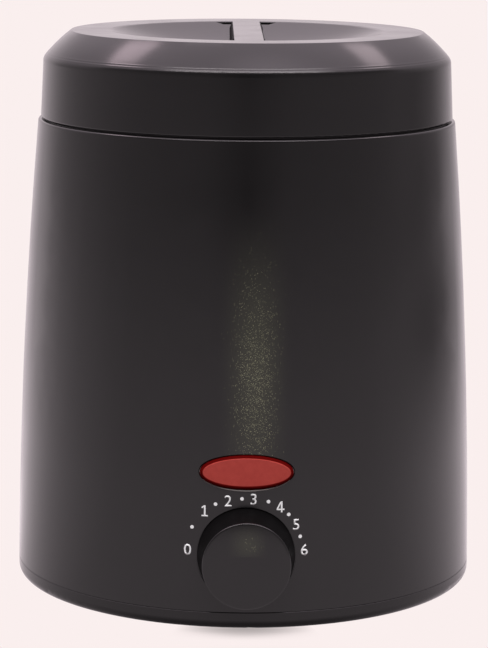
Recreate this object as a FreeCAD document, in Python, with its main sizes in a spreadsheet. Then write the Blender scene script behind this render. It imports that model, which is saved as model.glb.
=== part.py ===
import FreeCAD, Part
import math
import os
import re
import Sketcher

# A wax warmer pot: a tapered drum with a lift-off lid, a wax pot in a heated well, a thermostat knob
# and an indicator lamp at the front (-Y), and a mains inlet at the rear. The origin is on the table,
# on the drum's axis. Heights are measured from the table and everything is in millimetres.

SIZES = {
    # Outer casing: its side is one long arc that is widest below the table
    "wall_widest_radius": 75.13,
    "wall_widest_height": -17.04,
    "wall_sweep_radius": 1981.4,
    "casing_wall": 2.4,
    "casing_top_height": 153.1,
    "casing_lip_round": 0.8,
    "mouth_round": 0.3,
    "deck_drop": 2.5,
    "deck_thickness": 2.4,
    "seam_height": 7.5,
    "seam_chamfer": 0.15,
    # Base cover and feet
    "foot_height": 2.0,
    "foot_radius": 7.0,
    "foot_edge_round": 0.6,
    "foot_stem_radius": 2.4,
    "foot_barb_radius": 3.5,
    "foot_barb_height": 1.5,
    "foot_spacing": 84.0,
    "base_plate": 2.5,
    "base_corner": 3.0,
    "base_spigot_height": 3.0,
    "base_spigot_wall": 2.0,
    "vent_count": 12,
    "vent_length": 14.0,
    "vent_width": 3.0,
    "vent_ring_radius": 34.0,
    # Tie bolt that draws the well, casing and base cover together
    "tie_bolt_radius": 2.5,
    "tie_head_radius": 4.25,
    "tie_head_height": 5.0,
    "tie_head_recess": 1.5,
    "tie_key_flats": 4.0,
    "tie_key_depth": 2.5,
    "tie_washer_radius": 5.0,
    "tie_washer_thickness": 1.0,
    "tie_column_wall": 3.0,
    "weld_nut_radius": 6.0,
    "weld_nut_height": 9.0,
    "tie_tip_gap": 2.0,
    # Stack of layers from the casing inwards
    "air_gap": 3.7,
    "insulation_thickness": 6.0,
    "strap_thickness": 0.6,
    "heater_thickness": 2.4,
    "well_wall": 1.2,
    "pot_wall": 1.0,
    # Heating well and its gasket
    "well_floor": 1.5,
    "well_corner": 4.0,
    "well_flange_gap": 2.4,
    "gasket_thickness": 1.5,
    "gasket_skirt": 1.7,
    "gasket_skirt_drop": 2.0,
    "gasket_edge_gap": 0.5,
    # Wax pot
    "pot_gap": 0.6,
    "pot_floor": 1.2,
    "pot_corner": 5.0,
    "pot_rim_stand": 5.0,
    "pot_rim_width": 3.6,
    "pot_rim_drop": 3.2,
    "pot_rim_round": 0.9,
    # Band heater, its strap and the insulation round them
    "heater_bottom_gap": 20.0,
    "heater_top_gap": 24.0,
    "heater_slit": 7.2,
    "strap_width": 12.0,
    "strap_lug_reach": 8.6,
    "strap_screw_radius": 1.9,
    "strap_head_radius": 3.4,
    "strap_head_height": 2.6,
    "strap_nut_flats": 7.0,
    "strap_nut_height": 3.2,
    "insulation_window": 28.0,
    "insulation_overlap": 4.0,
    "heater_tab_width": 6.3,
    "heater_tab_thickness": 0.8,
    "heater_tab_grip": 10.0,
    "heater_tab_tail": 9.0,
    "heater_tab_angle": 10.0,
    # Sensor bulb, thermal fuse and earth tab under the well
    "bulb_radius": 3.0,
    "bulb_length": 60.0,
    "bulb_offset": 18.0,
    "clip_width": 8.0,
    "clip_wall": 1.4,
    "clip_pitch": 36.0,
    "clip_mouth": 4.0,
    "fuse_radius": 2.0,
    "fuse_length": 12.0,
    "fuse_lead_radius": 0.5,
    "fuse_lead_length": 6.0,
    "fuse_side": 28.0,
    "fuse_offset": 20.0,
    "fuse_clip_wall": 1.9,
    "fuse_clip_width": 8.0,
    "earth_tab_offset": 28.0,
    "tab_width": 6.3,
    "tab_thickness": 0.8,
    "tab_length": 8.0,
    # Lid
    "lid_gap": 0.55,
    "lid_step": 0.81,
    "lid_side_height": 19.05,
    "lid_side_taper": 0.89,
    "lid_bevel_height": 8.75,
    "lid_bevel_width": 8.93,
    "lid_bevel_bulge": 0.4,
    "lid_shoulder_round": 3.0,
    "lid_wall": 2.2,
    "lid_rim_fall": 0.05,
    "lid_edge_round": 0.5,
    "lid_spigot_wall": 2.0,
    "lid_spigot_root": 3.0,
    "dish_edge_radius": 45.0,
    "dish_depth": 8.2,
    "dish_roll": 4.0,
    "dish_shoulder": 5.0,
    "dish_shoulder_width": 4.0,
    "bar_width": 9.1,
    "bar_draft": 4.0,
    "bar_wall": 2.0,
    "bar_core_end": 8.0,
    "nook_width": 5.8,
    "nook_length": 8.0,
    "nook_round": 7.5,
    "nook_depth": 0.9,
    # Control knob and its seat in the casing
    "knob_height": 25.45,
    "knob_base_radius": 15.1,
    "knob_face_radius": 13.6,
    "knob_reach": 12.1,
    "knob_crown": 0.7,
    "knob_wall": 1.8,
    "knob_hub_radius": 5.2,
    "knob_edge_round": 0.6,
    "knob_recess": 1.9,
    "knob_recess_gap": 0.3,
    "knob_lift": 0.55,
    "pointer_angle": 173.0,
    "pointer_width": 1.2,
    "pointer_depth": 0.5,
    "pointer_length": 7.0,
    "hub_spring_thickness": 0.4,
    "hub_spring_width": 4.0,
    # Thermostat
    "panel_thickness": 3.5,
    "thermostat_width": 32.0,
    "thermostat_height": 28.0,
    "thermostat_depth": 26.0,
    "thermostat_corner": 3.0,
    "thermostat_top_gap": 5.4,
    "bush_radius": 5.0,
    "bush_tail": 0.9,
    "shaft_radius": 3.0,
    "shaft_flat": 1.5,
    "shaft_depth": 8.0,
    "shaft_end_gap": 1.0,
    "lock_washer_radius": 8.0,
    "lock_washer_thickness": 0.8,
    "bush_nut_flats": 14.0,
    "bush_nut_height": 2.6,
    "terminal_pitch": 16.0,
    "terminal_drop": 7.5,
    # Indicator lamp
    "lamp_height": 51.7,
    "lens_half_width": 14.35,
    "lens_half_height": 5.35,
    "lens_edge": 0.83,
    "lens_stand": 1.1,
    "lens_seat": 2.0,
    "lens_ledge": 2.3,
    "lens_ledge_rise": 1.65,
    "lens_wall": 1.3,
    "barrel_length": 5.4,
    "lamp_panel": 3.0,
    "holder_wall": 1.6,
    "holder_back": 1.5,
    "neon_radius": 1.9,
    "neon_length": 10.0,
    "neon_pin_radius": 0.35,
    "neon_pin_pitch": 8.0,
    # Mains inlet
    "inlet_height": 26.0,
    "inlet_flat": 1.65,
    "inlet_panel": 3.7,
    "inlet_flange_width": 30.6,
    "inlet_flange_height": 23.6,
    "inlet_flange": 2.0,
    "inlet_body_width": 27.0,
    "inlet_body_height": 19.8,
    "inlet_depth": 16.0,
    "inlet_wall": 1.6,
    "inlet_back": 3.0,
    "inlet_bevel": 5.0,
    "pin_width": 2.0,
    "pin_height": 4.0,
    "pin_pitch": 14.0,
    "pin_stagger": 4.0,
    "pin_short": 1.5,
    "pin_tail": 5.5,
    # Capillary and the points that it passes
    "capillary_radius": 0.8,
    "capillary_side": 10.0,
    "capillary_height": 33.0,
    "capillary_run": 12.0,
    "capillary_bend_side": 24.0,
    "capillary_bend_height": 35.0,
    "capillary_bend_run": 21.0,
    "capillary_pass_side": 38.0,
    "capillary_pass_height": 38.0,
    "capillary_pass_run": 35.0,
    "capillary_loop": 11.0,
    "capillary_swing": 4.0,
    # Wires and the points that they pass
    "wire_radius": 0.9,
    "inlet_wire_run": 10.0,
    "live_rear_side": 20.0,
    "live_rear_offset": 28.0,
    "live_rear_height": 18.0,
    "live_pass_side": 26.0,
    "live_pass_offset": 10.0,
    "live_pass_height": 14.0,
    "live_front_side": 24.0,
    "live_turn_side": 16.0,
    "live_turn_offset": 21.0,
    "live_turn_height": 16.0,
    "live_end_run": 8.0,
    "load_run": 7.0,
    "load_bend_run": 12.0,
    "load_bend_side": 3.0,
    "load_bend_rise": 9.0,
    "load_rise_side": 4.0,
    "load_rise_drop": 8.0,
    "load_end_run": 8.0,
    "heater_wire_run": 7.0,
    "heater_wire_drop": 2.0,
    "neutral_rear_side": 20.0,
    "neutral_rear_offset": 30.0,
    "neutral_rear_height": 26.0,
    "neutral_pass_side": 38.0,
    "neutral_pass_offset": 18.0,
    "neutral_pass_height": 33.0,
    "earth_wire_run": 9.0,
    "earth_wire_drop": 4.0,
    # Lamp leads and the points that they pass
    "lamp_wire_radius": 0.5,
    "lamp_wire_lift": 2.6,
    "lamp_wire_run": 6.0,
    "lamp_tab_gap": 3.0,
    "lamp_cross_gap": 1.0,
    "lamp_cross_height": 30.0,
    "lamp_front_side": 14.0,
    "lamp_front_offset": 22.0,
    "lamp_front_height": 22.0,
    "lamp_pass_side": 20.0,
    "lamp_pass_height": 20.0,
    "lamp_rear_side": 17.0,
    "lamp_rear_offset": 24.0,
    "lamp_end_side": 4.0,
    "lamp_end_run": 12.0,
    "lamp_end_drop": 3.0,
    "lamp_end_lap": 2.0,
    # Clearances
    "slip_gap": 0.3,
    "snug_gap": 0.1,
    "running_gap": 0.05,
    "hole_gap": 0.15,
    "spigot_gap": 0.5,
}

doc = FreeCAD.newDocument("wax_warmer")
sheet = doc.addObject("Spreadsheet::Sheet", "Sizes")
for row, (alias, number) in enumerate(SIZES.items(), start=1):
    sheet.set(f"A{row}", alias)
    sheet.set(f"B{row}", str(number))
    sheet.setAlias(f"B{row}", alias)
doc.recompute()

TOWARDS = {
    "up": FreeCAD.Rotation(),
    "front": FreeCAD.Rotation(FreeCAD.Vector(1, 0, 0), 90),
    "rear": FreeCAD.Rotation(FreeCAD.Vector(1, 0, 0), -90),
    "right": FreeCAD.Rotation(FreeCAD.Vector(0, 1, 0), 90),
}
nodes = []


def size(text):
    """The value of an expression over the sheet's sizes."""
    return float(sheet.evalExpression(text))


def bind(item, slot, text):
    """Tie one property to the sheet."""
    word = r"[A-Za-z_]\w*"
    item.setExpression(slot, re.sub(word, lambda m: f"Sizes.{m[0]}" if m[0] in SIZES else m[0], text))


def place(item, x="0", y="0", z="0", turn=TOWARDS["up"]):
    """Stand a piece at a point tied to the sheet, turned as given."""
    item.Placement = FreeCAD.Placement(FreeCAD.Vector(), turn)
    for axis, text in zip("xyz", (x, y, z)):
        bind(item, f"Placement.Base.{axis}", text)
    return item


def node(item, name):
    """Name a finished piece and keep it for writing."""
    item.Label = name
    nodes.append(item)
    return item


def block(name, x, y, z):
    """A box between two heights, two depths and two sides."""
    item = doc.addObject("Part::Box", name)
    for side, (low, high) in zip(("Length", "Width", "Height"), (x, y, z)):
        bind(item, side, f"({high}) - ({low})")
    return place(item, x[0], y[0], z[0])


def rod(name, radius, start, length, towards="up"):
    """A round bar from a point along one direction."""
    item = doc.addObject("Part::Cylinder", name)
    bind(item, "Radius", radius)
    bind(item, "Height", length)
    return place(item, *start, TOWARDS[towards])


def hexagon(name, flats, start, length, towards="up"):
    """A hexagonal bar given by its width across flats."""
    item = doc.addObject("Part::Prism", name)
    item.Polygon = 6
    bind(item, "Circumradius", f"({flats})/sqrt(3)")
    bind(item, "Height", length)
    return place(item, *start, TOWARDS[towards])


def fused(name, pieces):
    """Several solids made one."""
    item = doc.addObject("Part::MultiFuse", name)
    item.Shapes = pieces
    return item


def cut(name, base, *tools):
    """A solid with tools taken out of it."""
    item = doc.addObject("Part::Cut", name)
    item.Base = base
    item.Tool = tools[0] if len(tools) == 1 else fused(f"{name}_tools", list(tools))
    return item


def grouped(name, pieces):
    """Like solids kept separate under one name."""
    item = doc.addObject("Part::Compound", name)
    item.Links = pieces
    return item


def sketch_on(body, name, role="XZ_Plane", offset="0"):
    """A sketch on one of the body's own planes, moved along that plane's normal."""
    sketch = body.newObject("Sketcher::SketchObject", name)
    plane = next(item for item in body.Origin.OriginFeatures if item.Role == role)
    sketch.AttachmentSupport = [(plane, "")]
    sketch.MapMode = "FlatFace"
    bind(sketch, "AttachmentOffset.Base.z", offset)
    return sketch


def arc_between(start, end, radius, turn):
    """The smaller arc from start to end, turning left for +1 and right for -1."""
    chord = end.sub(start)
    left = FreeCAD.Vector(-chord.y, chord.x, 0).normalize()
    height = math.sqrt(radius ** 2 - (chord.Length / 2) ** 2)
    centre = start.add(end).multiply(0.5).add(left.multiply(turn * height))
    first, last = (start, end) if turn > 0 else (end, start)
    angles = [math.atan2(point.y - centre.y, point.x - centre.x) for point in (first, last)]
    return Part.ArcOfCircle(Part.Circle(centre, FreeCAD.Vector(0, 0, 1), radius), *angles)


def outline(sketch, points, arcs=None):
    """A closed loop through tied points. arcs gives an edge's (radius, turn) by its first point's index."""
    arcs = arcs or {}
    spots = [FreeCAD.Vector(size(u), size(v), 0) for u, v in points]
    ends = []
    for index, spot in enumerate(spots):
        following = spots[(index + 1) % len(spots)]
        if index in arcs:
            radius, turn = arcs[index]
            edge = sketch.addGeometry(arc_between(spot, following, size(radius), turn))
            ends.append((edge, 1, 2) if turn > 0 else (edge, 2, 1))
            tie = sketch.addConstraint(Sketcher.Constraint("Radius", edge, size(radius)))
            bind(sketch, f"Constraints[{tie}]", radius)
        else:
            ends.append((sketch.addGeometry(Part.LineSegment(spot, following)), 1, 2))
    for index, (edge, first, last) in enumerate(ends):
        after, after_first, _ = ends[(index + 1) % len(ends)]
        sketch.addConstraint(Sketcher.Constraint("Coincident", edge, last, after, after_first))
        for kind, axis, text in zip(("DistanceX", "DistanceY"), (-2, -1), points[index]):
            if text == "0":
                sketch.addConstraint(Sketcher.Constraint("PointOnObject", edge, first, axis))
            else:
                tie = sketch.addConstraint(Sketcher.Constraint(kind, -1, 1, edge, first, size(text)))
                bind(sketch, f"Constraints[{tie}]", text)


def turned(name, points, arcs=None):
    """A body of revolution from a (radius, height) profile."""
    body = doc.addObject("PartDesign::Body", name)
    profile = sketch_on(body, f"{name}_profile")
    outline(profile, points, arcs)
    feature = body.newObject("PartDesign::Revolution", f"{name}_turn")
    feature.Profile = profile
    feature.ReferenceAxis = (profile, ["V_Axis"])
    doc.recompute()
    return body


def pad(body, name, points, arcs=None, base="0", length="1", down=False, draft="0"):
    """A level outline raised or lowered from a height."""
    sketch = sketch_on(body, f"{name}_outline", "XY_Plane", base)
    outline(sketch, points, arcs)
    feature = body.newObject("PartDesign::Pad", name)
    feature.Profile = sketch
    feature.Reversed = down
    bind(feature, "Length", length)
    bind(feature, "TaperAngle", draft)
    doc.recompute()
    return feature


def pocket(body, name, loops, arcs=None, base="0", length="1", up=False):
    """Level outlines sunk into the body from a height."""
    before = body.Shape.Volume
    sketch = sketch_on(body, f"{name}_outline", "XY_Plane", base)
    for points in loops:
        outline(sketch, points, arcs)
    feature = body.newObject("PartDesign::Pocket", name)
    feature.Profile = sketch
    feature.Reversed = up
    bind(feature, "Length", length)
    doc.recompute()
    if body.Shape.Volume >= before:
        raise RuntimeError(f"{name} cuts nothing")
    return feature


def round_edges(body, name, places, radius):
    """Fillet the round edges that pass through the given (radius, height) places."""
    base = body.Tip
    spots = [(size(r), size(h)) for r, h in places]
    found = []
    for number, edge in enumerate(base.Shape.Edges, start=1):
        if edge.Degenerated or not isinstance(edge.Curve, Part.Circle):
            continue
        on_edge = edge.valueAt(edge.FirstParameter)
        spot = (math.hypot(on_edge.x, on_edge.y), on_edge.z)
        if abs(edge.Curve.Axis.z) > 0.5 and any(math.dist(spot, wanted) < 1e-4 for wanted in spots):
            found.append(f"Edge{number}")
    if len(found) < len(places):
        raise RuntimeError(f"{name} finds {len(found)} edges for {len(places)} places")
    feature = body.newObject("PartDesign::Fillet", name)
    feature.Base = (base, found)
    bind(feature, "Radius", radius)
    doc.recompute()
    return feature


def round_mouth(item, name, place, radius):
    """Fillet the edge of a finished solid that passes through a place."""
    body = doc.addObject("PartDesign::Body", f"{name}_body")
    body.BaseFeature = item
    doc.recompute()
    base = body.Tip
    spot = Part.Vertex(*(size(value) for value in place))
    found = []
    for number, edge in enumerate(base.Shape.Edges, start=1):
        if not edge.Degenerated and edge.distToShape(spot)[0] < 1e-4:
            found.append(f"Edge{number}")
    if not found:
        raise RuntimeError(f"{name} finds no edge")
    feature = body.newObject("PartDesign::Fillet", name)
    feature.Base = (base, found)
    bind(feature, "Radius", radius)
    doc.recompute()
    return body


def rectangle(half_x, half_y):
    """The corners of a rectangle about the axis."""
    return [(f"-({half_x})", f"-({half_y})"), (half_x, f"-({half_y})"),
            (half_x, half_y), (f"-({half_x})", half_y)]


def oval(name, half_width, half_height, start, end, height):
    """An elliptical bar towards the front, between two distances from the axis."""
    section = doc.addObject("Part::Ellipse", f"{name}_section")
    bind(section, "MajorRadius", half_width)
    bind(section, "MinorRadius", half_height)
    place(section, "0", f"-({start})", height, TOWARDS["front"])
    item = doc.addObject("Part::Extrusion", name)
    item.Base = section
    item.DirMode = "Custom"
    item.Dir = FreeCAD.Vector(0, -1, 0)
    item.Solid = True
    bind(item, "LengthFwd", f"({end}) - ({start})")
    return item


def tube(name, route, radius):
    """A round wire along straight runs joined by tangent arcs, as wide as the shorter run allows."""
    share = 0.45
    spots = [FreeCAD.Vector(*spot) for spot in route]
    edges = []
    at = spots[0]
    for before, corner, after in zip(spots, spots[1:], spots[2:]):
        back = before.sub(corner)
        on = after.sub(corner)
        reach = share * min(back.Length, on.Length)
        half_turn = (math.pi - back.getAngle(on)) / 2
        arc_radius = reach / math.tan(half_turn)
        enter = corner.add(back.normalize().multiply(reach))
        leave = corner.add(on.normalize().multiply(reach))
        inward = back.add(on).normalize()
        middle = corner.add(inward.multiply(arc_radius / math.cos(half_turn) - arc_radius))
        edges.append(Part.LineSegment(at, enter).toShape())
        edges.append(Part.Arc(enter, middle, leave).toShape())
        at = leave
    edges.append(Part.LineSegment(at, spots[-1]).toShape())
    path = Part.Wire(edges)
    section = Part.Wire([Part.Circle(spots[0], spots[1].sub(spots[0]), radius).toShape()])
    shape = path.makePipeShell([section], True, False)
    wanted = math.pi * radius ** 2 * path.Length
    if abs(shape.Volume - wanted) > wanted / 100:
        raise RuntimeError(f"{name} is not a sound tube")
    item = doc.addObject("Part::Feature", name)
    item.Shape = shape
    return item


def wall_radius(height, inset="0"):
    """Radius of the casing's swept side at a height, an inset inside the outer face."""
    return (f"(wall_widest_radius - wall_sweep_radius"
            f" + sqrt((wall_sweep_radius - {inset})^2 - ({height} - wall_widest_height)^2))")


# Heights of the seats, from the table up
base_bottom = "foot_height"
plate_top = f"({base_bottom} + base_plate)"
deck_top = "(casing_top_height - deck_drop)"
deck_bottom = f"({deck_top} - deck_thickness)"
flange_bottom = f"({deck_top} + gasket_thickness)"
flange_top = f"({flange_bottom} + well_wall)"
well_bottom = "(knob_height + thermostat_height/2 + thermostat_top_gap)"
well_seat = f"({well_bottom} + well_floor)"
weld_nut_bottom = f"({well_bottom} - weld_nut_height)"
pot_rim_top = f"({flange_top} + pot_rim_stand)"
lid_bottom = "(casing_top_height + lid_gap)"
bevel_bottom = f"({lid_bottom} + lid_side_height)"
lid_top = f"({bevel_bottom} + lid_bevel_height)"
bar_top = f"({lid_top} - lid_rim_fall)"
bar_bottom = f"({bar_top} - dish_depth - lid_wall)"
heater_bottom = f"({well_bottom} + heater_bottom_gap)"
heater_top = f"({deck_bottom} - heater_top_gap)"
heater_middle = f"(({heater_bottom} + {heater_top})/2)"
tie_head_bottom = f"({base_bottom} + tie_head_recess)"
tie_head_top = f"({tie_head_bottom} + tie_head_height)"
tie_shoulder = f"({tie_head_top} + tie_washer_thickness)"
column_top = f"({weld_nut_bottom} - spigot_gap)"
bulb_height = f"({well_bottom} - bulb_radius - clip_wall)"
fuse_height = f"({well_bottom} - fuse_radius - fuse_clip_wall)"

# Radii of the layers, from the casing in
casing_top_radius = wall_radius("casing_top_height")
lip_inner_radius = f"({casing_top_radius} - casing_wall)"
insulation_outer = f"({wall_radius(deck_bottom, 'casing_wall')} - air_gap)"
insulation_inner = f"({insulation_outer} - insulation_thickness)"
strap_outer = f"({insulation_inner} - slip_gap)"
strap_inner = f"({strap_outer} - strap_thickness)"
heater_outer = f"({strap_inner} - snug_gap)"
heater_inner = f"({heater_outer} - heater_thickness)"
well_outer = f"({heater_inner} - snug_gap)"
well_inner = f"({well_outer} - well_wall)"
pot_outer = f"({well_inner} - pot_gap)"
pot_inner = f"({pot_outer} - pot_wall)"
lid_spigot_outer = f"({lip_inner_radius} - spigot_gap)"
lid_spigot_inner = f"({lid_spigot_outer} - lid_spigot_wall)"
flange_radius = f"({lid_spigot_inner} - well_flange_gap)"
deck_hole_radius = f"({well_outer} + gasket_skirt + 2*slip_gap)"

# Distances from the axis to the front and rear panels
knob_wall_face = wall_radius("knob_height")
knob_seat = f"({knob_wall_face} - knob_recess)"
panel_back = f"({knob_seat} - panel_thickness)"
knob_recess_radius = "(knob_base_radius + knob_recess_gap)"
knob_rear = f"({knob_seat} + knob_lift)"
knob_front = f"({knob_wall_face} + knob_reach)"
bush_front = f"({knob_seat} + lock_washer_thickness + bush_nut_height + bush_tail)"
hub_rear = f"({bush_front} + spigot_gap)"
shaft_tip = f"({knob_front} - knob_wall - shaft_end_gap)"
lamp_wall_face = wall_radius("lamp_height")
lens_back = f"({lamp_wall_face} - lens_seat)"
lamp_panel_back = f"({lens_back} - lamp_panel)"
barrel_rear = f"({lens_back} - barrel_length)"
holder_cup = f"({barrel_rear} - slip_gap)"
holder_rear = f"({holder_cup} - holder_back)"
cavity_front = f"({lamp_wall_face} + lens_stand - lens_wall)"
neon_place = f"({cavity_front} - neon_radius - slip_gap)"
inlet_wall_face = wall_radius("inlet_height")
inlet_seat = f"({inlet_wall_face} - inlet_flat)"
inlet_panel_back = f"({inlet_seat} - inlet_panel)"
inlet_body_rear = f"({inlet_seat} - inlet_depth)"
pin_rear = f"({inlet_body_rear} - pin_tail)"
pin_front = f"({inlet_seat} + inlet_flange - pin_short)"

# Places and half sizes that two pieces share
foot_places = [(f"{side}*foot_spacing/2", f"{end}*foot_spacing/2") for side in (-1, 1) for end in (-1, 1)]
barrel_half_width = "(lens_half_width - lens_ledge)"
barrel_half_height = "(lens_half_height - lens_ledge_rise)"
spring_room = "(hub_spring_thickness + 2*running_gap)"
# The side and rise of the neutral, live and earth blades from the inlet's middle
pin_places = [("-pin_pitch/2", "-pin_stagger/2"), ("pin_pitch/2", "-pin_stagger/2"), ("0", "pin_stagger/2")]


def outer_casing():
    """Moulded drum with a stepped deck at the top and thick panels behind the knob, lamp and inlet."""
    chamfer_top = "(seam_height + seam_chamfer)"
    shell = turned("casing_shell", [
        (f"{wall_radius(chamfer_top)} - seam_chamfer", "seam_height"),
        (wall_radius(chamfer_top), chamfer_top),
        (casing_top_radius, "casing_top_height"),
        (lip_inner_radius, "casing_top_height"),
        (lip_inner_radius, deck_top),
        (deck_hole_radius, deck_top),
        (deck_hole_radius, deck_bottom),
        (wall_radius(deck_bottom, "casing_wall"), deck_bottom),
        (wall_radius("seam_height", "casing_wall"), "seam_height"),
    ], {1: ("wall_sweep_radius", 1), 7: ("wall_sweep_radius - casing_wall", -1)})
    round_edges(shell, "casing_lip", [(casing_top_radius, "casing_top_height")], "casing_lip_round")

    def panel_front(face, half):
        return f"(sqrt({face}^2 - ({half})^2) - casing_wall/2)"

    lamp_half_x = "(lens_half_width + lens_wall)"
    lamp_half_z = "(lens_half_height + lens_wall)"
    inlet_half_x = "(inlet_flange_width/2 + inlet_wall)"
    inlet_half_z = "(inlet_flange_height/2 + inlet_wall)"
    thermostat_panel = rod("thermostat_panel", knob_recess_radius, ("0", f"-{panel_back}", "knob_height"),
                           f"{panel_front(knob_wall_face, knob_recess_radius)} - {panel_back}", "front")
    lamp_panel = block("lamp_panel_pad", (f"-{lamp_half_x}", lamp_half_x),
                       (f"-{panel_front(lamp_wall_face, lamp_half_x)}", f"-{lamp_panel_back}"),
                       (f"lamp_height - {lamp_half_z}", f"lamp_height + {lamp_half_z}"))
    inlet_panel = block("inlet_panel_pad", (f"-{inlet_half_x}", inlet_half_x),
                        (inlet_panel_back, panel_front(inlet_wall_face, inlet_half_x)),
                        (f"inlet_height - {inlet_half_z}", f"inlet_height + {inlet_half_z}"))
    walls = fused("casing_walls", [shell, thermostat_panel, lamp_panel, inlet_panel])

    outside = "2*wall_widest_radius"
    knob_recess = rod("knob_recess_cut", knob_recess_radius, ("0", f"-{knob_seat}", "knob_height"),
                      outside, "front")
    bush_hole = rod("bush_hole", "bush_radius + hole_gap", ("0", "0", "knob_height"), outside, "front")
    lens_recess = oval("lens_recess", "lens_half_width + hole_gap", "lens_half_height + hole_gap",
                       lens_back, outside, "lamp_height")
    barrel_hole = oval("barrel_hole", f"{barrel_half_width} + hole_gap", f"{barrel_half_height} + hole_gap",
                       "0", outside, "lamp_height")
    inlet_flat = block("inlet_flat_cut",
                       ("-inlet_flange_width/2 - slip_gap", "inlet_flange_width/2 + slip_gap"),
                       (inlet_seat, outside),
                       ("inlet_height - inlet_flange_height/2 - slip_gap",
                        "inlet_height + inlet_flange_height/2 + slip_gap"))
    inlet_hole = block("inlet_hole", ("-inlet_body_width/2 - slip_gap", "inlet_body_width/2 + slip_gap"),
                       ("0", outside),
                       ("inlet_height - inlet_body_height/2 - slip_gap",
                        "inlet_height + inlet_body_height/2 + slip_gap"))
    opened = cut("casing_opened", walls, knob_recess, bush_hole, lens_recess, barrel_hole,
                 inlet_flat, inlet_hole)
    mouth_top = "(lamp_height + lens_half_height + hole_gap)"
    node(round_mouth(opened, "lens_mouth", ("0", f"-{wall_radius(mouth_top)}", mouth_top), "mouth_round"),
         "outer_casing")


def base_cover():
    """Moulded floor with a rounded foot edge, a spigot inside the casing, a bolt column and vents."""
    rim_radius = wall_radius("seam_height")
    spigot_outer = f"({wall_radius('seam_height', 'casing_wall')} - slip_gap)"
    spigot_inner = f"({spigot_outer} - base_spigot_wall)"
    spigot_top = "(seam_height + base_spigot_height)"
    body = turned("base_moulding", [
        ("tie_washer_radius + slip_gap", base_bottom),
        (f"{rim_radius} - base_corner", base_bottom),
        (rim_radius, f"{base_bottom} + base_corner"),
        (rim_radius, "seam_height - seam_chamfer"),
        (f"{rim_radius} - seam_chamfer", "seam_height"),
        (spigot_outer, "seam_height"),
        (spigot_outer, spigot_top),
        (spigot_inner, spigot_top),
        (spigot_inner, plate_top),
        ("tie_washer_radius + slip_gap + tie_column_wall", plate_top),
        ("tie_washer_radius + slip_gap + tie_column_wall", column_top),
        ("tie_bolt_radius + slip_gap", column_top),
        ("tie_bolt_radius + slip_gap", tie_shoulder),
        ("tie_washer_radius + slip_gap", tie_shoulder),
    ], {1: ("base_corner", 1)})
    slot = pocket(body, "vent_slot", [[
        ("vent_ring_radius", "-vent_width/2"),
        ("vent_ring_radius + vent_length", "-vent_width/2"),
        ("vent_ring_radius + vent_length", "vent_width/2"),
        ("vent_ring_radius", "vent_width/2"),
    ]], base=plate_top, length="base_plate")
    vents = body.newObject("PartDesign::PolarPattern", "vent_ring")
    vents.Originals = [slot]
    vents.Axis = (next(item for item in body.Origin.OriginFeatures if item.Role == "Z_Axis"), [""])
    bind(vents, "Occurrences", "vent_count")
    body.Tip = vents
    panel_notch = block("panel_notch",
                        (f"-{knob_recess_radius} - slip_gap", f"{knob_recess_radius} + slip_gap"),
                        ("-2*wall_widest_radius", f"-{spigot_inner} + base_spigot_wall"),
                        ("seam_height", f"{spigot_top} + slip_gap"))
    stem_holes = [
        rod(f"stem_hole_{index}", "foot_stem_radius + hole_gap", (x, y, base_bottom), "base_plate")
        for index, (x, y) in enumerate(foot_places)]
    node(cut("base_finished", body, panel_notch, *stem_holes), "base_cover")


def rubber_feet():
    """Four soft feet, each pushed through the base cover and held by its barb."""
    feet = []
    for index, (x, y) in enumerate(foot_places):
        foot = turned(f"foot_{index}", [
            ("0", "0"),
            ("foot_radius - foot_edge_round", "0"),
            ("foot_radius", "foot_edge_round"),
            ("foot_radius", base_bottom),
            ("foot_stem_radius", base_bottom),
            ("foot_stem_radius", plate_top),
            ("foot_barb_radius", plate_top),
            ("foot_stem_radius", f"{plate_top} + foot_barb_height"),
            ("0", f"{plate_top} + foot_barb_height"),
        ], {1: ("foot_edge_round", 1)})
        feet.append(place(foot, x, y))
    node(grouped("feet_group", feet), "rubber_feet")


def tie_fastening():
    """The socket-head bolt and washer under the base and the nut welded to the well's floor."""
    head = rod("tie_head", "tie_head_radius", ("0", "0", tie_head_bottom), "tie_head_height")
    shank = rod("tie_shank", "tie_bolt_radius", ("0", "0", tie_head_top),
                f"{well_bottom} - tie_tip_gap - {tie_head_top}")
    key = hexagon("tie_key", "tie_key_flats", ("0", "0", tie_head_bottom), "tie_key_depth")
    node(cut("tie_bolt_finished", fused("tie_bolt_blank", [head, shank]), key), "tie_bolt")
    node(turned("tie_washer_ring", [
        ("tie_bolt_radius + hole_gap", tie_head_top),
        ("tie_washer_radius", tie_head_top),
        ("tie_washer_radius", tie_shoulder),
        ("tie_bolt_radius + hole_gap", tie_shoulder),
    ]), "tie_washer")
    node(turned("weld_nut_ring", [
        ("tie_bolt_radius + running_gap", weld_nut_bottom),
        ("weld_nut_radius", weld_nut_bottom),
        ("weld_nut_radius", well_bottom),
        ("tie_bolt_radius + running_gap", well_bottom),
    ]), "well_nut")


def heating_well():
    """Spun aluminium cup hung by its flange from the casing's deck."""
    body = turned("well_cup", [
        ("0", well_bottom),
        (well_outer, well_bottom),
        (well_outer, flange_bottom),
        (flange_radius, flange_bottom),
        (flange_radius, flange_top),
        (well_inner, flange_top),
        (well_inner, well_seat),
        ("0", well_seat),
    ])
    round_edges(body, "well_inner_corner", [(well_inner, well_seat)], "well_corner")
    round_edges(body, "well_outer_corner", [(well_outer, well_bottom)], "well_corner + well_wall")
    node(body, "heating_well")


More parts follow.
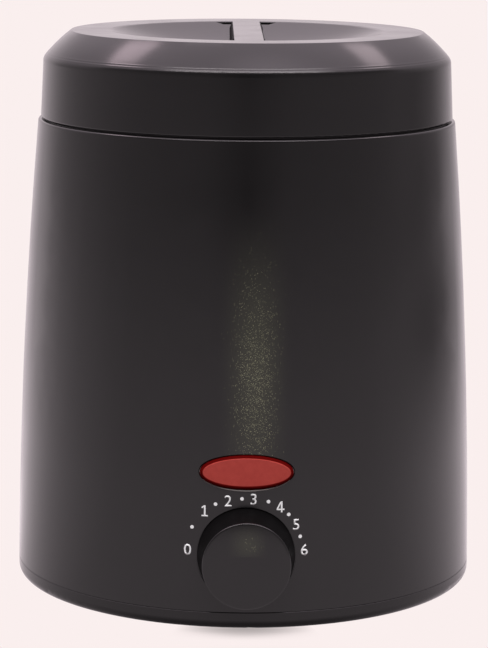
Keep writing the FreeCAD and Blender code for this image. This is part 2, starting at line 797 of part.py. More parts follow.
def well_gasket():
    """Silicone ring under the well's flange, with a skirt that centres the well in the deck."""
    skirt_inner = f"({well_outer} + slip_gap)"
    skirt_outer = f"({skirt_inner} + gasket_skirt)"
    rim = f"({flange_radius} - gasket_edge_gap)"
    node(turned("gasket_ring", [
        (skirt_inner, f"{deck_top} - gasket_skirt_drop"),
        (skirt_outer, f"{deck_top} - gasket_skirt_drop"),
        (skirt_outer, deck_top),
        (rim, deck_top),
        (rim, flange_bottom),
        (skirt_inner, flange_bottom),
    ]), "well_gasket")


def wax_pot():
    """Drawn aluminium can that stands on the well's floor and lifts out by its turned-down rim."""
    rim_radius = f"({pot_outer} + pot_rim_width)"
    rim_foot = f"({pot_rim_top} - pot_rim_drop)"
    body = turned("pot_can", [
        ("0", well_seat),
        (pot_outer, well_seat),
        (pot_outer, f"{pot_rim_top} - pot_wall"),
        (f"{rim_radius} - pot_wall", f"{pot_rim_top} - pot_wall"),
        (f"{rim_radius} - pot_wall", rim_foot),
        (rim_radius, rim_foot),
        (rim_radius, pot_rim_top),
        (pot_inner, pot_rim_top),
        (pot_inner, f"{well_seat} + pot_floor"),
        ("0", f"{well_seat} + pot_floor"),
    ])
    round_edges(body, "pot_inner_corner", [(pot_inner, f"{well_seat} + pot_floor")], "pot_corner - pot_wall")
    round_edges(body, "pot_outer_corner", [(pot_outer, well_seat)], "pot_corner")
    round_edges(body, "pot_rim_edges", [(rim_radius, pot_rim_top), (pot_inner, pot_rim_top)], "pot_rim_round")
    node(body, "wax_pot")


def band_heater():
    """Mica band heater in a steel jacket, its two tabs, and the strap and screw that draw it tight."""
    slit = "heater_slit/2"
    far = "2*wall_widest_radius"
    band = turned("heater_band", [
        (heater_inner, heater_bottom),
        (heater_outer, heater_bottom),
        (heater_outer, heater_top),
        (heater_inner, heater_top),
    ])
    band_gap = block("heater_gap", (f"-{far}", "0"), (f"-{slit}", slit), (heater_bottom, heater_top))
    node(cut("band_finished", band, band_gap), "band_heater")

    strap_low = f"({heater_middle} - strap_width/2)"
    strap_high = f"({heater_middle} + strap_width/2)"
    lug_root = f"-({strap_inner} + strap_thickness/2)"
    lug_tip = f"-({strap_outer} + strap_lug_reach)"
    lug_outside = f"({slit} + strap_thickness)"
    strap = turned("strap_band", [
        (strap_inner, strap_low),
        (strap_outer, strap_low),
        (strap_outer, strap_high),
        (strap_inner, strap_high),
    ])
    strap_gap = block("strap_gap", (f"-{far}", "0"), (f"-{slit}", slit), (strap_low, strap_high))
    lugs = [
        block("strap_lug_rear", (lug_tip, lug_root), (slit, lug_outside), (strap_low, strap_high)),
        block("strap_lug_front", (lug_tip, lug_root), (f"-{lug_outside}", f"-{slit}"),
              (strap_low, strap_high)),
    ]
    screw_x = f"-({strap_outer} + strap_lug_reach/2)"
    screw_hole = rod("strap_screw_hole", "strap_screw_radius + hole_gap",
                     (screw_x, f"-{far}/2", heater_middle), far, "rear")
    strap_blank = fused("strap_blank", [cut("strap_open", strap, strap_gap), *lugs])
    node(cut("strap_finished", strap_blank, screw_hole), "heater_strap")

    head = rod("strap_head", "strap_head_radius", (screw_x, lug_outside, heater_middle),
               "strap_head_height", "rear")
    shank = rod("strap_shank", "strap_screw_radius",
                (screw_x, f"-{lug_outside} - strap_nut_height - slip_gap", heater_middle),
                f"2*{lug_outside} + strap_nut_height + slip_gap", "rear")
    node(fused("strap_screw_finished", [head, shank]), "strap_screw")
    nut = hexagon("strap_nut_blank", "strap_nut_flats", (screw_x, f"-{lug_outside}", heater_middle),
                  "strap_nut_height", "front")
    nut_bore = rod("strap_nut_bore", "strap_screw_radius + running_gap",
                   (screw_x, f"-{lug_outside}", heater_middle), "strap_nut_height", "front")
    node(cut("strap_nut_finished", nut, nut_bore), "strap_nut")

    tab_face = f"({heater_outer} + running_gap + heater_tab_thickness)"
    tabs = []
    for side in (-1, 1):
        tab = block(f"heater_tab_{side}", ("0", "heater_tab_thickness"), ("0", "heater_tab_width"),
                    ("-heater_tab_tail", "heater_tab_grip"))
        turn = f"{side}*heater_tab_angle*1deg"
        place(tab, f"heater_tab_width/2*sin({turn}) - {tab_face}*cos({turn})",
              f"-heater_tab_width/2*cos({turn}) - {tab_face}*sin({turn})",
              f"{heater_bottom} - heater_tab_tail",
              FreeCAD.Rotation(FreeCAD.Vector(0, 0, 1), side * size("heater_tab_angle")))
        tabs.append(tab)
    node(grouped("heater_tab_pair", tabs), "heater_tabs")


def insulation_wrap():
    """Glass-fibre blanket round the heater, open at the strap's lugs."""
    low = f"({heater_bottom} - insulation_overlap)"
    high = f"({heater_top} + insulation_overlap)"
    blanket = turned("blanket", [
        (insulation_inner, low),
        (insulation_outer, low),
        (insulation_outer, high),
        (insulation_inner, high),
    ])
    window = block("blanket_window", (f"-2*{insulation_outer}", "0"),
                   ("-insulation_window/2", "insulation_window/2"), (low, high))
    node(cut("blanket_open", blanket, window), "insulation_wrap")


def well_sensors():
    """The thermostat's bulb in its spring clips, the thermal fuse in its block, and the earth tab."""
    bulb_start = ("-bulb_length/2", "bulb_offset", bulb_height)
    node(rod("bulb_rod", "bulb_radius", bulb_start, "bulb_length", "right"), "sensor_bulb")
    half = "(bulb_radius + running_gap + clip_wall)"
    clips = []
    for side in (-1, 1):
        middle = f"({side}*clip_pitch/2)"
        blank = block(f"clip_blank_{side}", (f"{middle} - clip_width/2", f"{middle} + clip_width/2"),
                      (f"bulb_offset - {half}", f"bulb_offset + {half}"),
                      (f"{bulb_height} - {half}", well_bottom))
        bore = rod(f"clip_bore_{side}", "bulb_radius + running_gap",
                   (f"{middle} - clip_width", "bulb_offset", bulb_height), "2*clip_width", "right")
        mouth = block(f"clip_mouth_{side}", (f"{middle} - clip_width", f"{middle} + clip_width"),
                      ("bulb_offset - clip_mouth/2", "bulb_offset + clip_mouth/2"),
                      (f"{bulb_height} - 2*{half}", bulb_height))
        clips.append(cut(f"clip_{side}", blank, bore, mouth))
    node(grouped("bulb_clip_pair", clips), "bulb_clips")

    fuse_y = "-fuse_offset"
    can = rod("fuse_can", "fuse_radius", ("-fuse_side - fuse_length/2", fuse_y, fuse_height),
              "fuse_length", "right")
    leads = rod("fuse_leads", "fuse_lead_radius",
                ("-fuse_side - fuse_length/2 - fuse_lead_length", fuse_y, fuse_height),
                "fuse_length + 2*fuse_lead_length", "right")
    node(fused("fuse_finished", [can, leads]), "thermal_fuse")
    fuse_half = "(fuse_radius + running_gap + fuse_clip_wall)"
    fuse_blank = block("fuse_blank", ("-fuse_side - fuse_clip_width/2", "-fuse_side + fuse_clip_width/2"),
                       (f"{fuse_y} - {fuse_half}", f"{fuse_y} + {fuse_half}"),
                       (f"{fuse_height} - {fuse_half}", well_bottom))
    fuse_bore = rod("fuse_bore", "fuse_radius + running_gap",
                    ("-fuse_side - fuse_clip_width", fuse_y, fuse_height), "2*fuse_clip_width", "right")
    node(cut("fuse_clip_finished", fuse_blank, fuse_bore), "fuse_clip")
    node(block("earth_tab_blade", ("-tab_width/2", "tab_width/2"),
               ("earth_tab_offset - tab_thickness/2", "earth_tab_offset + tab_thickness/2"),
               (f"{well_bottom} - tab_length", well_bottom)), "earth_tab")


def lid():
    """Lift-off lid with a bevelled shoulder, a dished top crossed by a pinch bar, and a seat spigot."""
    bottom_radius = f"({casing_top_radius} - lid_step)"
    bevel_radius = f"({bottom_radius} - lid_side_taper)"
    top_radius = f"({bevel_radius} - lid_bevel_width)"
    bevel_span = "(lid_bevel_width^2 + lid_bevel_height^2)"
    bevel_sweep = f"({bevel_span}/4 + lid_bevel_bulge^2)/(2*lid_bevel_bulge)"
    dish_span = "(dish_edge_radius^2 + dish_depth^2)"
    roll_radius = f"dish_edge_radius*(1 - 2*dish_roll*dish_depth/{dish_span})"
    roll_height = f"{bar_top} - 2*dish_roll*dish_depth^2/{dish_span}"
    dish_radius = f"{dish_span}/(2*dish_depth) - dish_roll"
    under_rise = "(dish_depth + lid_wall - dish_shoulder)"
    under_radius = f"(dish_edge_radius^2 + {under_rise}^2)/(2*{under_rise})"
    spigot_root = f"({lid_bottom} + lid_spigot_root)"
    body = turned("lid_shell", [
        (bottom_radius, lid_bottom),
        (bevel_radius, bevel_bottom),
        (top_radius, lid_top),
        ("dish_edge_radius", bar_top),
        (roll_radius, roll_height),
        ("0", f"{bar_top} - dish_depth"),
        ("0", bar_bottom),
        ("dish_edge_radius", f"{bar_top} - dish_shoulder"),
        ("dish_edge_radius + dish_shoulder_width", f"{lid_top} - lid_wall"),
        (f"{top_radius} - lid_wall/2", f"{lid_top} - lid_wall"),
        (f"{bevel_radius} - lid_wall", f"{bevel_bottom} - lid_wall/2"),
        (f"{bottom_radius} - lid_wall", spigot_root),
        (lid_spigot_inner, spigot_root),
        (lid_spigot_inner, deck_top),
        (lid_spigot_outer, deck_top),
        (lid_spigot_outer, lid_bottom),
    ], {1: (bevel_sweep, 1), 3: ("dish_roll", 1), 4: (dish_radius, -1), 6: (under_radius, 1)})
    round_edges(body, "lid_edges", [(bottom_radius, lid_bottom), (top_radius, lid_top)], "lid_edge_round")
    round_edges(body, "lid_shoulder", [(bevel_radius, bevel_bottom)], "lid_shoulder_round")

    bar_half = "(bar_width/2)"
    pad(body, "pinch_bar", rectangle(bar_half, "dish_edge_radius"), base=bar_top,
        length="dish_depth + lid_wall", down=True, draft="bar_draft")
    pocket(body, "bar_core", [rectangle(f"{bar_half} - bar_wall", "dish_edge_radius - bar_core_end")],
           base=bar_bottom, length="dish_depth + lid_wall - bar_wall", up=True)
    nook_edge = f"({bar_half} + nook_width)"
    edge_y = f"sqrt(({roll_radius})^2 - {nook_edge}^2)"
    bar_y = f"sqrt(({roll_radius})^2 - {bar_half}^2)"
    for side in (-1, 1):
        for end in (-1, 1):
            turn = side * end
            loop = [
                (f"{side}*{bar_half}", f"{end}*({bar_y} - nook_length)"),
                (f"{side}*{nook_edge}", f"{end}*{edge_y}"),
                (f"{side}*{bar_half}", f"{end}*{bar_y}"),
            ]
            pocket(body, f"nook_{side + 1}{end + 1}", [loop],
                   {0: ("nook_round", -turn), 1: (roll_radius, turn)}, base=bar_top, length="nook_depth")
    node(body, "lid")


def flatted_rod(name, radius, flat, start, flat_start, end):
    """A rod towards the front with a flat on its upper side from flat_start on."""
    bar = rod(f"{name}_bar", radius, ("0", f"-({start})", "knob_height"), f"({end}) - ({start})", "front")
    side = f"2*({radius})"
    flat_cut = block(f"{name}_flat", (f"-{side}", side), (f"-2*({end})", f"-({flat_start})"),
                     (f"knob_height + {flat}", f"knob_height + {side}"))
    return cut(name, bar, flat_cut)


def control_knob():
    """Hollow moulded knob with a domed face, a D-bored hub and a pointer line on its skirt."""
    crown_radius = "(knob_face_radius^2 + knob_crown^2)/(2*knob_crown)"
    skin = f"({knob_front} - knob_wall)"
    body = turned("knob_shell", [
        ("knob_base_radius", knob_rear),
        ("knob_face_radius", knob_front),
        ("0", f"{knob_front} + knob_crown"),
        ("0", hub_rear),
        ("knob_hub_radius", hub_rear),
        ("knob_hub_radius", skin),
        ("knob_face_radius - knob_wall", skin),
        ("knob_base_radius - knob_wall", knob_rear),
    ], {1: (crown_radius, 1)})
    round_edges(body, "knob_face_edge", [("knob_face_radius", knob_front)], "knob_edge_round")
    place(body, z="knob_height", turn=TOWARDS["front"])
    bore = flatted_rod("knob_bore", "shaft_radius + running_gap", f"(shaft_flat + {spring_room})",
                       hub_rear, hub_rear, f"{shaft_tip} + running_gap")
    line = block("pointer_line", ("0", "knob_base_radius"), ("0", "pointer_width"), ("0", "pointer_length"))
    line_root = "(knob_base_radius - pointer_depth)"
    line_turn = "(pointer_angle*1deg)"
    place(line, f"{line_root}*cos({line_turn}) + pointer_width/2*sin({line_turn})", f"-{knob_rear}",
          f"knob_height + {line_root}*sin({line_turn}) - pointer_width/2*cos({line_turn})",
          FreeCAD.Rotation(FreeCAD.Vector(0, -1, 0), size("pointer_angle")).multiply(TOWARDS["front"]))
    node(cut("knob_finished", body, bore, line), "control_knob")
    node(block("hub_spring", ("-hub_spring_width/2", "hub_spring_width/2"),
               (f"-{shaft_tip}", f"-{hub_rear}"),
               ("knob_height + shaft_flat + running_gap",
                "knob_height + shaft_flat + running_gap + hub_spring_thickness")), "knob_spring")


def thermostat():
    """Capillary thermostat: housing, threaded bush, lock washer and nut, D-shaft and two tabs."""
    half_x = "(thermostat_width/2)"
    half_z = "(thermostat_height/2)"
    rear = f"({panel_back} - thermostat_depth)"
    housing = doc.addObject("PartDesign::Body", "housing")
    inner_x = f"({half_x} - thermostat_corner)"
    inner_z = f"({half_z} - thermostat_corner)"
    pad(housing, "housing_block", [
        (f"-{inner_x}", f"-{half_z}"), (inner_x, f"-{half_z}"),
        (half_x, f"-{inner_z}"), (half_x, inner_z),
        (inner_x, half_z), (f"-{inner_x}", half_z),
        (f"-{half_x}", inner_z), (f"-{half_x}", f"-{inner_z}"),
    ], {index: ("thermostat_corner", 1) for index in (1, 3, 5, 7)}, base=rear, length="thermostat_depth")
    place(housing, z="knob_height", turn=TOWARDS["front"])
    shaft_hole = rod("shaft_hole", "shaft_radius + running_gap",
                     ("0", f"-({panel_back} - shaft_depth)", "knob_height"), "2*shaft_depth", "front")
    node(cut("housing_finished", housing, shaft_hole), "thermostat_housing")

    def front_ring(name, inner, outer, start, end):
        return place(turned(name, [(inner, start), (outer, start), (outer, end), (inner, end)]),
                     z="knob_height", turn=TOWARDS["front"])

    washer_front = f"({knob_seat} + lock_washer_thickness)"
    nut_front = f"({washer_front} + bush_nut_height)"
    node(front_ring("bush_ring", "shaft_radius + running_gap", "bush_radius", panel_back, bush_front),
         "thermostat_bush")
    node(front_ring("lock_ring", "bush_radius + running_gap", "lock_washer_radius", knob_seat, washer_front),
         "lock_washer")
    nut = hexagon("bush_nut_blank", "bush_nut_flats", ("0", f"-{washer_front}", "knob_height"),
                  "bush_nut_height", "front")
    nut_bore = rod("bush_nut_bore", "bush_radius + running_gap", ("0", f"-{washer_front}", "knob_height"),
                   f"{nut_front} - {washer_front}", "front")
    node(cut("bush_nut_finished", nut, nut_bore), "bush_nut")
    shaft_rear = f"({panel_back} - shaft_depth + running_gap)"
    node(flatted_rod("shaft_finished", "shaft_radius", "shaft_flat", shaft_rear, hub_rear, shaft_tip),
         "thermostat_shaft")
    tabs = [
        block(f"terminal_{side}", (f"{side}*terminal_pitch/2 - tab_thickness/2",
              f"{side}*terminal_pitch/2 + tab_thickness/2"), (f"-{rear}", f"-{rear} + tab_length"),
              ("knob_height - terminal_drop - tab_width/2", "knob_height - terminal_drop + tab_width/2"))
        for side in (-1, 1)]
    node(grouped("terminal_pair", tabs), "thermostat_tabs")


def indicator_lamp():
    """Red oval lens seated in the casing, the holder that grips its barrel, and the neon inside."""
    flange = oval("lens_flange", "lens_half_width", "lens_half_height", lens_back, lamp_wall_face,
                  "lamp_height")
    rings = []
    for name, inset, distance in (("foot", "0", lamp_wall_face),
                                  ("face", "lens_edge", f"({lamp_wall_face} + lens_stand)")):
        ring = doc.addObject("Part::Ellipse", f"lens_{name}_ring")
        bind(ring, "MajorRadius", f"lens_half_width - {inset}")
        bind(ring, "MinorRadius", f"lens_half_height - {inset}")
        rings.append(place(ring, "0", f"-{distance}", "lamp_height", TOWARDS["front"]))
    bevel = doc.addObject("Part::Loft", "lens_bevel")
    bevel.Sections = rings
    bevel.Solid = True
    bevel.Ruled = True
    barrel = oval("lens_barrel", barrel_half_width, barrel_half_height, barrel_rear, lens_back, "lamp_height")
    cavity = oval("lens_cavity", f"{barrel_half_width} - lens_wall", f"{barrel_half_height} - lens_wall",
                  barrel_rear, cavity_front, "lamp_height")
    node(cut("lens_finished", fused("lens_blank", [flange, bevel, barrel]), cavity), "lamp_lens")

    outside = oval("holder_blank", f"{barrel_half_width} + hole_gap + holder_wall",
                   f"{barrel_half_height} + hole_gap + holder_wall",
                   holder_rear, lamp_panel_back, "lamp_height")
    cup = oval("holder_cup", f"{barrel_half_width} + hole_gap", f"{barrel_half_height} + hole_gap",
               holder_cup, lamp_panel_back, "lamp_height")
    pin_length = f"{neon_place} - {holder_rear}"
    pins = []
    pin_holes = []
    for side in (-1, 1):
        start = (f"{side}*neon_pin_pitch/2", f"-{holder_rear}", "lamp_height")
        pins.append(rod(f"neon_pin_{side}", "neon_pin_radius", start, pin_length, "front"))
        pin_holes.append(rod(f"pin_hole_{side}", "neon_pin_radius + running_gap", start, pin_length, "front"))
    node(cut("holder_finished", outside, cup, *pin_holes), "lamp_holder")
    glass = rod("neon_glass", "neon_radius", ("-neon_length/2", f"-{neon_place}", "lamp_height"),
                "neon_length", "right")
    node(fused("neon_finished", [glass, *pins]), "neon_lamp")


def mains_inlet():
    """Three-blade appliance inlet seated on the flat at the rear, its upper corners cut off."""
    body = doc.addObject("PartDesign::Body", "inlet_moulding")
    pad(body, "inlet_flange_plate", rectangle("inlet_flange_width/2", "inlet_flange_height/2"),
        base=inlet_seat, length="inlet_flange")
    pad(body, "inlet_box", rectangle("inlet_body_width/2", "inlet_body_height/2"),
        base=inlet_body_rear, length="inlet_depth")
    mouth_x = "(inlet_body_width/2 - inlet_wall)"
    mouth_z = "(inlet_body_height/2 - inlet_wall)"
    pocket(body, "inlet_mouth", [[
        (f"-{mouth_x}", f"-{mouth_z}"), (mouth_x, f"-{mouth_z}"),
        (mouth_x, f"{mouth_z} - inlet_bevel"), (f"{mouth_x} - inlet_bevel", mouth_z),
        (f"-({mouth_x} - inlet_bevel)", mouth_z), (f"-{mouth_x}", f"{mouth_z} - inlet_bevel"),
    ]], base=f"{inlet_seat} + inlet_flange", length="inlet_depth + inlet_flange - inlet_back")
    place(body, z="inlet_height", turn=FreeCAD.Rotation(180, 0, 90))
    blades = []
    slots = []
    for index, (side, rise) in enumerate(pin_places):
        for name, gap, kept in (("blade", "0", blades), ("slot", "running_gap", slots)):
            kept.append(block(f"inlet_{name}_{index}",
                              (f"{side} - pin_width/2 - {gap}", f"{side} + pin_width/2 + {gap}"),
                              (pin_rear, pin_front),
                              (f"inlet_height + {rise} - pin_height/2 - {gap}",
                               f"inlet_height + {rise} + pin_height/2 + {gap}")))
    node(cut("inlet_finished", body, *slots), "inlet_socket")
    node(grouped("inlet_blades", blades), "inlet_pins")


def wiring():
    """Capillary and insulated wires, each held at both ends by the pieces it joins."""
    tab_front = -size(f"{panel_back} - thermostat_depth - tab_length")
    tab_x = size("terminal_pitch/2")
    tab_z = size("knob_height - terminal_drop")
    fuse_z = size(fuse_height)
    fuse_y = -size("fuse_offset")
    fuse_inner = -size("fuse_side - fuse_length/2 - fuse_lead_length")
    fuse_outer = -size("fuse_side + fuse_length/2 + fuse_lead_length")
    neutral, live, earth = [
        FreeCAD.Vector(size(side), size(pin_rear), size(f"inlet_height + {rise}"))
        for side, rise in pin_places]
    tab_turn = math.radians(size("heater_tab_angle"))
    tab_reach = size(f"{heater_outer} + running_gap + heater_tab_thickness/2")
    heater_x = -tab_reach * math.cos(tab_turn)
    heater_y = tab_reach * math.sin(tab_turn)
    heater_z = size(f"{heater_bottom} - heater_tab_tail")
    lamp_rear = -size(holder_rear)
    lamp_x = size("neon_pin_pitch/2")
    lamp_z = size("lamp_height")
    over_housing = size("knob_height + thermostat_height/2 + lamp_wire_lift")
    bulb_y = size("bulb_offset")
    bulb_z = size(bulb_height)
    bulb_end = size("bulb_length/2")
    housing_rear = -size(f"{panel_back} - thermostat_depth")
    at = {name: size(name) for name in SIZES}
    wire = at["wire_radius"]
    thin_wire = at["lamp_wire_radius"]

    node(tube("capillary", [
        (at["capillary_side"], housing_rear, at["capillary_height"]),
        (at["capillary_side"], housing_rear + at["capillary_run"], at["capillary_height"]),
        (at["capillary_bend_side"], housing_rear + at["capillary_bend_run"], at["capillary_bend_height"]),
        (at["capillary_pass_side"], housing_rear + at["capillary_pass_run"], at["capillary_pass_height"]),
        (bulb_end + at["capillary_loop"] + at["capillary_swing"], bulb_y - at["capillary_loop"], bulb_z),
        (bulb_end + at["capillary_loop"], bulb_y, bulb_z),
        (bulb_end, bulb_y, bulb_z),
    ], at["capillary_radius"]), "capillary_tube")
    node(tube("live", [
        (live.x, live.y, live.z),
        (live.x, live.y - at["inlet_wire_run"], live.z),
        (at["live_rear_side"], at["live_rear_offset"], at["live_rear_height"]),
        (at["live_pass_side"], at["live_pass_offset"], at["live_pass_height"]),
        (at["live_front_side"], -at["live_pass_offset"], at["live_pass_height"]),
        (at["live_turn_side"], -at["live_turn_offset"], at["live_turn_height"]),
        (tab_x, tab_front + at["live_end_run"], tab_z),
        (tab_x, tab_front, tab_z),
    ], wire), "live_wire")
    node(tube("load", [
        (-tab_x, tab_front, tab_z),
        (-tab_x, tab_front + at["load_run"], tab_z),
        (-tab_x + at["load_bend_side"], tab_front + at["load_bend_run"], tab_z + at["load_bend_rise"]),
        (-tab_x + at["load_rise_side"], fuse_y, fuse_z - at["load_rise_drop"]),
        (fuse_inner + at["load_end_run"], fuse_y, fuse_z),
        (fuse_inner, fuse_y, fuse_z),
    ], wire), "load_wire")
    node(tube("heater_feed", [
        (fuse_outer, fuse_y, fuse_z),
        (fuse_outer - at["heater_wire_run"], fuse_y, fuse_z),
        (heater_x, -heater_y, fuse_z - at["heater_wire_drop"]),
        (heater_x, -heater_y, heater_z),
    ], wire), "heater_lead")
    node(tube("neutral", [
        (neutral.x, neutral.y, neutral.z),
        (neutral.x, neutral.y - at["inlet_wire_run"], neutral.z),
        (-at["neutral_rear_side"], at["neutral_rear_offset"], at["neutral_rear_height"]),
        (-at["neutral_pass_side"], at["neutral_pass_offset"], at["neutral_pass_height"]),
        (heater_x, heater_y, fuse_z - at["heater_wire_drop"]),
        (heater_x, heater_y, heater_z),
    ], wire), "neutral_wire")
    node(tube("earth", [
        (earth.x, earth.y, earth.z),
        (0, earth.y - at["earth_wire_run"], earth.z),
        (0, at["earth_tab_offset"], earth.z - at["earth_wire_drop"]),
        (0, at["earth_tab_offset"], size(f"{well_bottom} - tab_length")),
    ], wire), "earth_wire")
    leads = [
        tube("lamp_lead_load", [
            (-lamp_x, lamp_rear, lamp_z),
            (-lamp_x, lamp_rear + at["lamp_wire_run"], lamp_z),
            (-lamp_x, lamp_rear + at["lamp_wire_run"], over_housing),
            (-tab_x, tab_front - at["lamp_tab_gap"], over_housing),
            (-tab_x, tab_front - at["lamp_tab_gap"], tab_z + at["tab_width"] / 2),
        ], thin_wire),
        tube("lamp_lead_neutral", [
            (lamp_x, lamp_rear, lamp_z),
            (lamp_x, lamp_rear + at["lamp_wire_run"], lamp_z),
            (lamp_x, lamp_rear + at["lamp_wire_run"], over_housing),
            (lamp_x, tab_front - at["lamp_tab_gap"], over_housing),
            (0, tab_front - at["lamp_cross_gap"], at["lamp_cross_height"]),
            (-at["lamp_front_side"], -at["lamp_front_offset"], at["lamp_front_height"]),
            (-at["lamp_pass_side"], 0, at["lamp_pass_height"]),
            (-at["lamp_rear_side"], at["lamp_rear_offset"], at["lamp_pass_height"]),
            (neutral.x - at["lamp_end_side"], neutral.y - at["lamp_end_run"], neutral.z - at["lamp_end_drop"]),
            (neutral.x, neutral.y + at["lamp_end_lap"], neutral.z - at["pin_height"] / 2 - thin_wire),
        ], thin_wire),
    ]
    node(grouped("lamp_lead_pair", leads), "lamp_leads")


outer_casing()
base_cover()
rubber_feet()
tie_fastening()
heating_well()
well_gasket()
wax_pot()
band_heater()
insulation_wrap()
well_sensors()
lid()
control_knob()
thermostat()
indicator_lamp()
mains_inlet()
wiring()
doc.recompute()

for item in doc.Objects:
    if "Invalid" in item.State or "Error" in item.State:
        raise RuntimeError(f"{item.Label} failed: {item.State}")
for item in nodes:
    if item.Shape.isNull() or not item.Shape.isValid() or not item.Shape.Solids:
        raise RuntimeError(f"{item.Label} has no sound solid")
os.makedirs("parts", exist_ok=True)
for item in nodes:
    item.Shape.exportStep(f"parts/{item.Label}.step")
    box = item.Shape.BoundBox
    print(f"{item.Label}: {len(item.Shape.Solids)} solid, {item.Shape.Volume:.1f} mm3,"
          f" z {box.ZMin:.2f} to {box.ZMax:.2f}")
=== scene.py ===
import math

import bpy
from mathutils import Matrix, Quaternion, Vector


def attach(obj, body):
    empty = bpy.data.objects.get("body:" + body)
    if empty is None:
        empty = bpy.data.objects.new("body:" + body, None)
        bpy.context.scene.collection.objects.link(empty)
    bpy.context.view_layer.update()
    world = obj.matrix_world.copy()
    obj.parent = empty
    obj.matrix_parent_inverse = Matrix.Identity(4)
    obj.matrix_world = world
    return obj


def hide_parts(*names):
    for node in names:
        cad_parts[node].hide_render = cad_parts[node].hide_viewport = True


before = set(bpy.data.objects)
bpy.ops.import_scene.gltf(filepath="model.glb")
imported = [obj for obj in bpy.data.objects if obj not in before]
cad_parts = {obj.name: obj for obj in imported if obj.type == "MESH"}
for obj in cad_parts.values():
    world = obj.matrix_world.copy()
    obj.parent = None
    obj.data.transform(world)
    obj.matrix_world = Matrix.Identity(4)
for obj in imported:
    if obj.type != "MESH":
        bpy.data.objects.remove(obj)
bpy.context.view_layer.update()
bpy.ops.object.select_all(action="DESELECT")


# Outer casing: the tapered drum of the warmer, injection moulded in black plastic. A painted highlight runs
# down its front: a streak of fine gold flake and a paler greenish sheen. Its deck carries the well and the
# lid.

PLASTIC_BLACK = (0.0066, 0.0064, 0.0065, 1.0)
FLAKE_GOLD = (0.40, 0.43, 0.27, 1.0)
PAINTED_SHEEN = (0.031, 0.0335, 0.0225, 1.0)
FLAKE_CORE = 0.42
HIGHLIGHT_EASE = 0.4
CLOUDS_PER_METRE = 55.0
GRAINS_PER_METRE = 5200.0
NOISE_SPREAD = {"From Min": 0.3, "From Max": 0.7}
SKIN_RELIEF = {"bump": 0.06, "depth": 0.00002, "ior": 1.5}


def feed(tree, socket, value):
    """Link a socket to another, or set its value."""
    if isinstance(value, bpy.types.NodeSocket):
        tree.links.new(value, socket)
    else:
        socket.default_value = value


def add_node(tree, kind, inputs, **settings):
    """Add a shader node with its settings and inputs."""
    made = tree.nodes.new("ShaderNode" + kind)
    for key, value in settings.items():
        setattr(made, key, value)
    for key, value in inputs.items():
        feed(tree, made.inputs[key], value)
    return made


def calculate(tree, operation, *values, clamp=False):
    """The output of one Math node."""
    made = add_node(tree, "Math", dict(enumerate(values)), operation=operation, use_clamp=clamp)
    return made.outputs[0]


def blended(tree, share, first, second):
    """The output of a Mix node between two colours."""
    made = add_node(tree, "Mix", {"Factor": share}, data_type="RGBA")
    feed(tree, made.inputs[6], first)
    feed(tree, made.inputs[7], second)
    return made.outputs[2]


def effect_group(name, inputs, outputs):
    """A shader node group with named sockets, with its tree, input node and output node."""
    tree = bpy.data.node_groups.new(name, "ShaderNodeTree")
    for label, start in inputs.items():
        kind = "NodeSocketColor" if isinstance(start, tuple) else "NodeSocketFloat"
        tree.interface.new_socket(label, in_out="INPUT", socket_type=kind).default_value = start
    for label, kind in outputs.items():
        tree.interface.new_socket(label, in_out="OUTPUT", socket_type="NodeSocket" + kind)
    return tree, tree.nodes.new("NodeGroupInput").outputs, tree.nodes.new("NodeGroupOutput").inputs


def new_finish(name, group, values, bump, depth, **plain):
    """A material whose Principled shader takes the outputs of an effect group with its own values."""
    material = bpy.data.materials.new(name)
    material.use_nodes = True
    tree = material.node_tree
    shader = tree.nodes["Principled BSDF"]
    for key, value in plain.items():
        shader.inputs[key.replace("_", " ").title().replace("Ior", "IOR")].default_value = value
    effect = tree.nodes.new("ShaderNodeGroup")
    effect.node_tree = group
    for key, value in values.items():
        effect.inputs[key].default_value = value
    for label in ("Color", "Metallic", "Roughness"):
        if label in effect.outputs:
            tree.links.new(effect.outputs[label], shader.inputs["Base Color" if label == "Color" else label])
    relief = add_node(tree, "Bump", {"Height": effect.outputs["Height"], "Strength": bump, "Distance": depth})
    if "Normal" in effect.outputs:
        tree.links.new(effect.outputs["Normal"], relief.inputs["Normal"])
    tree.links.new(relief.outputs["Normal"], shader.inputs["Normal"])
    return material


def dress(material, *names):
    """Give CAD nodes a finish."""
    for name in names:
        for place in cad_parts[name].material_slots:
            place.material = material


def moulded_skin(tree, spot, inputs):
    """The roughness and the height of a moulded surface, clouded from smooth to satin and finely grained."""
    cloud = add_node(tree, "TexNoise", {"Vector": spot, "Scale": CLOUDS_PER_METRE, "Detail": 3.0})
    satin = add_node(tree, "MapRange", {"Value": cloud.outputs["Fac"], "To Min": inputs["Smooth"],
                                        "To Max": inputs["Satin"], **NOISE_SPREAD})
    grain = add_node(tree, "TexNoise", {"Vector": spot, "Scale": GRAINS_PER_METRE, "Detail": 1.0})
    return satin.outputs["Result"], grain.outputs["Fac"]


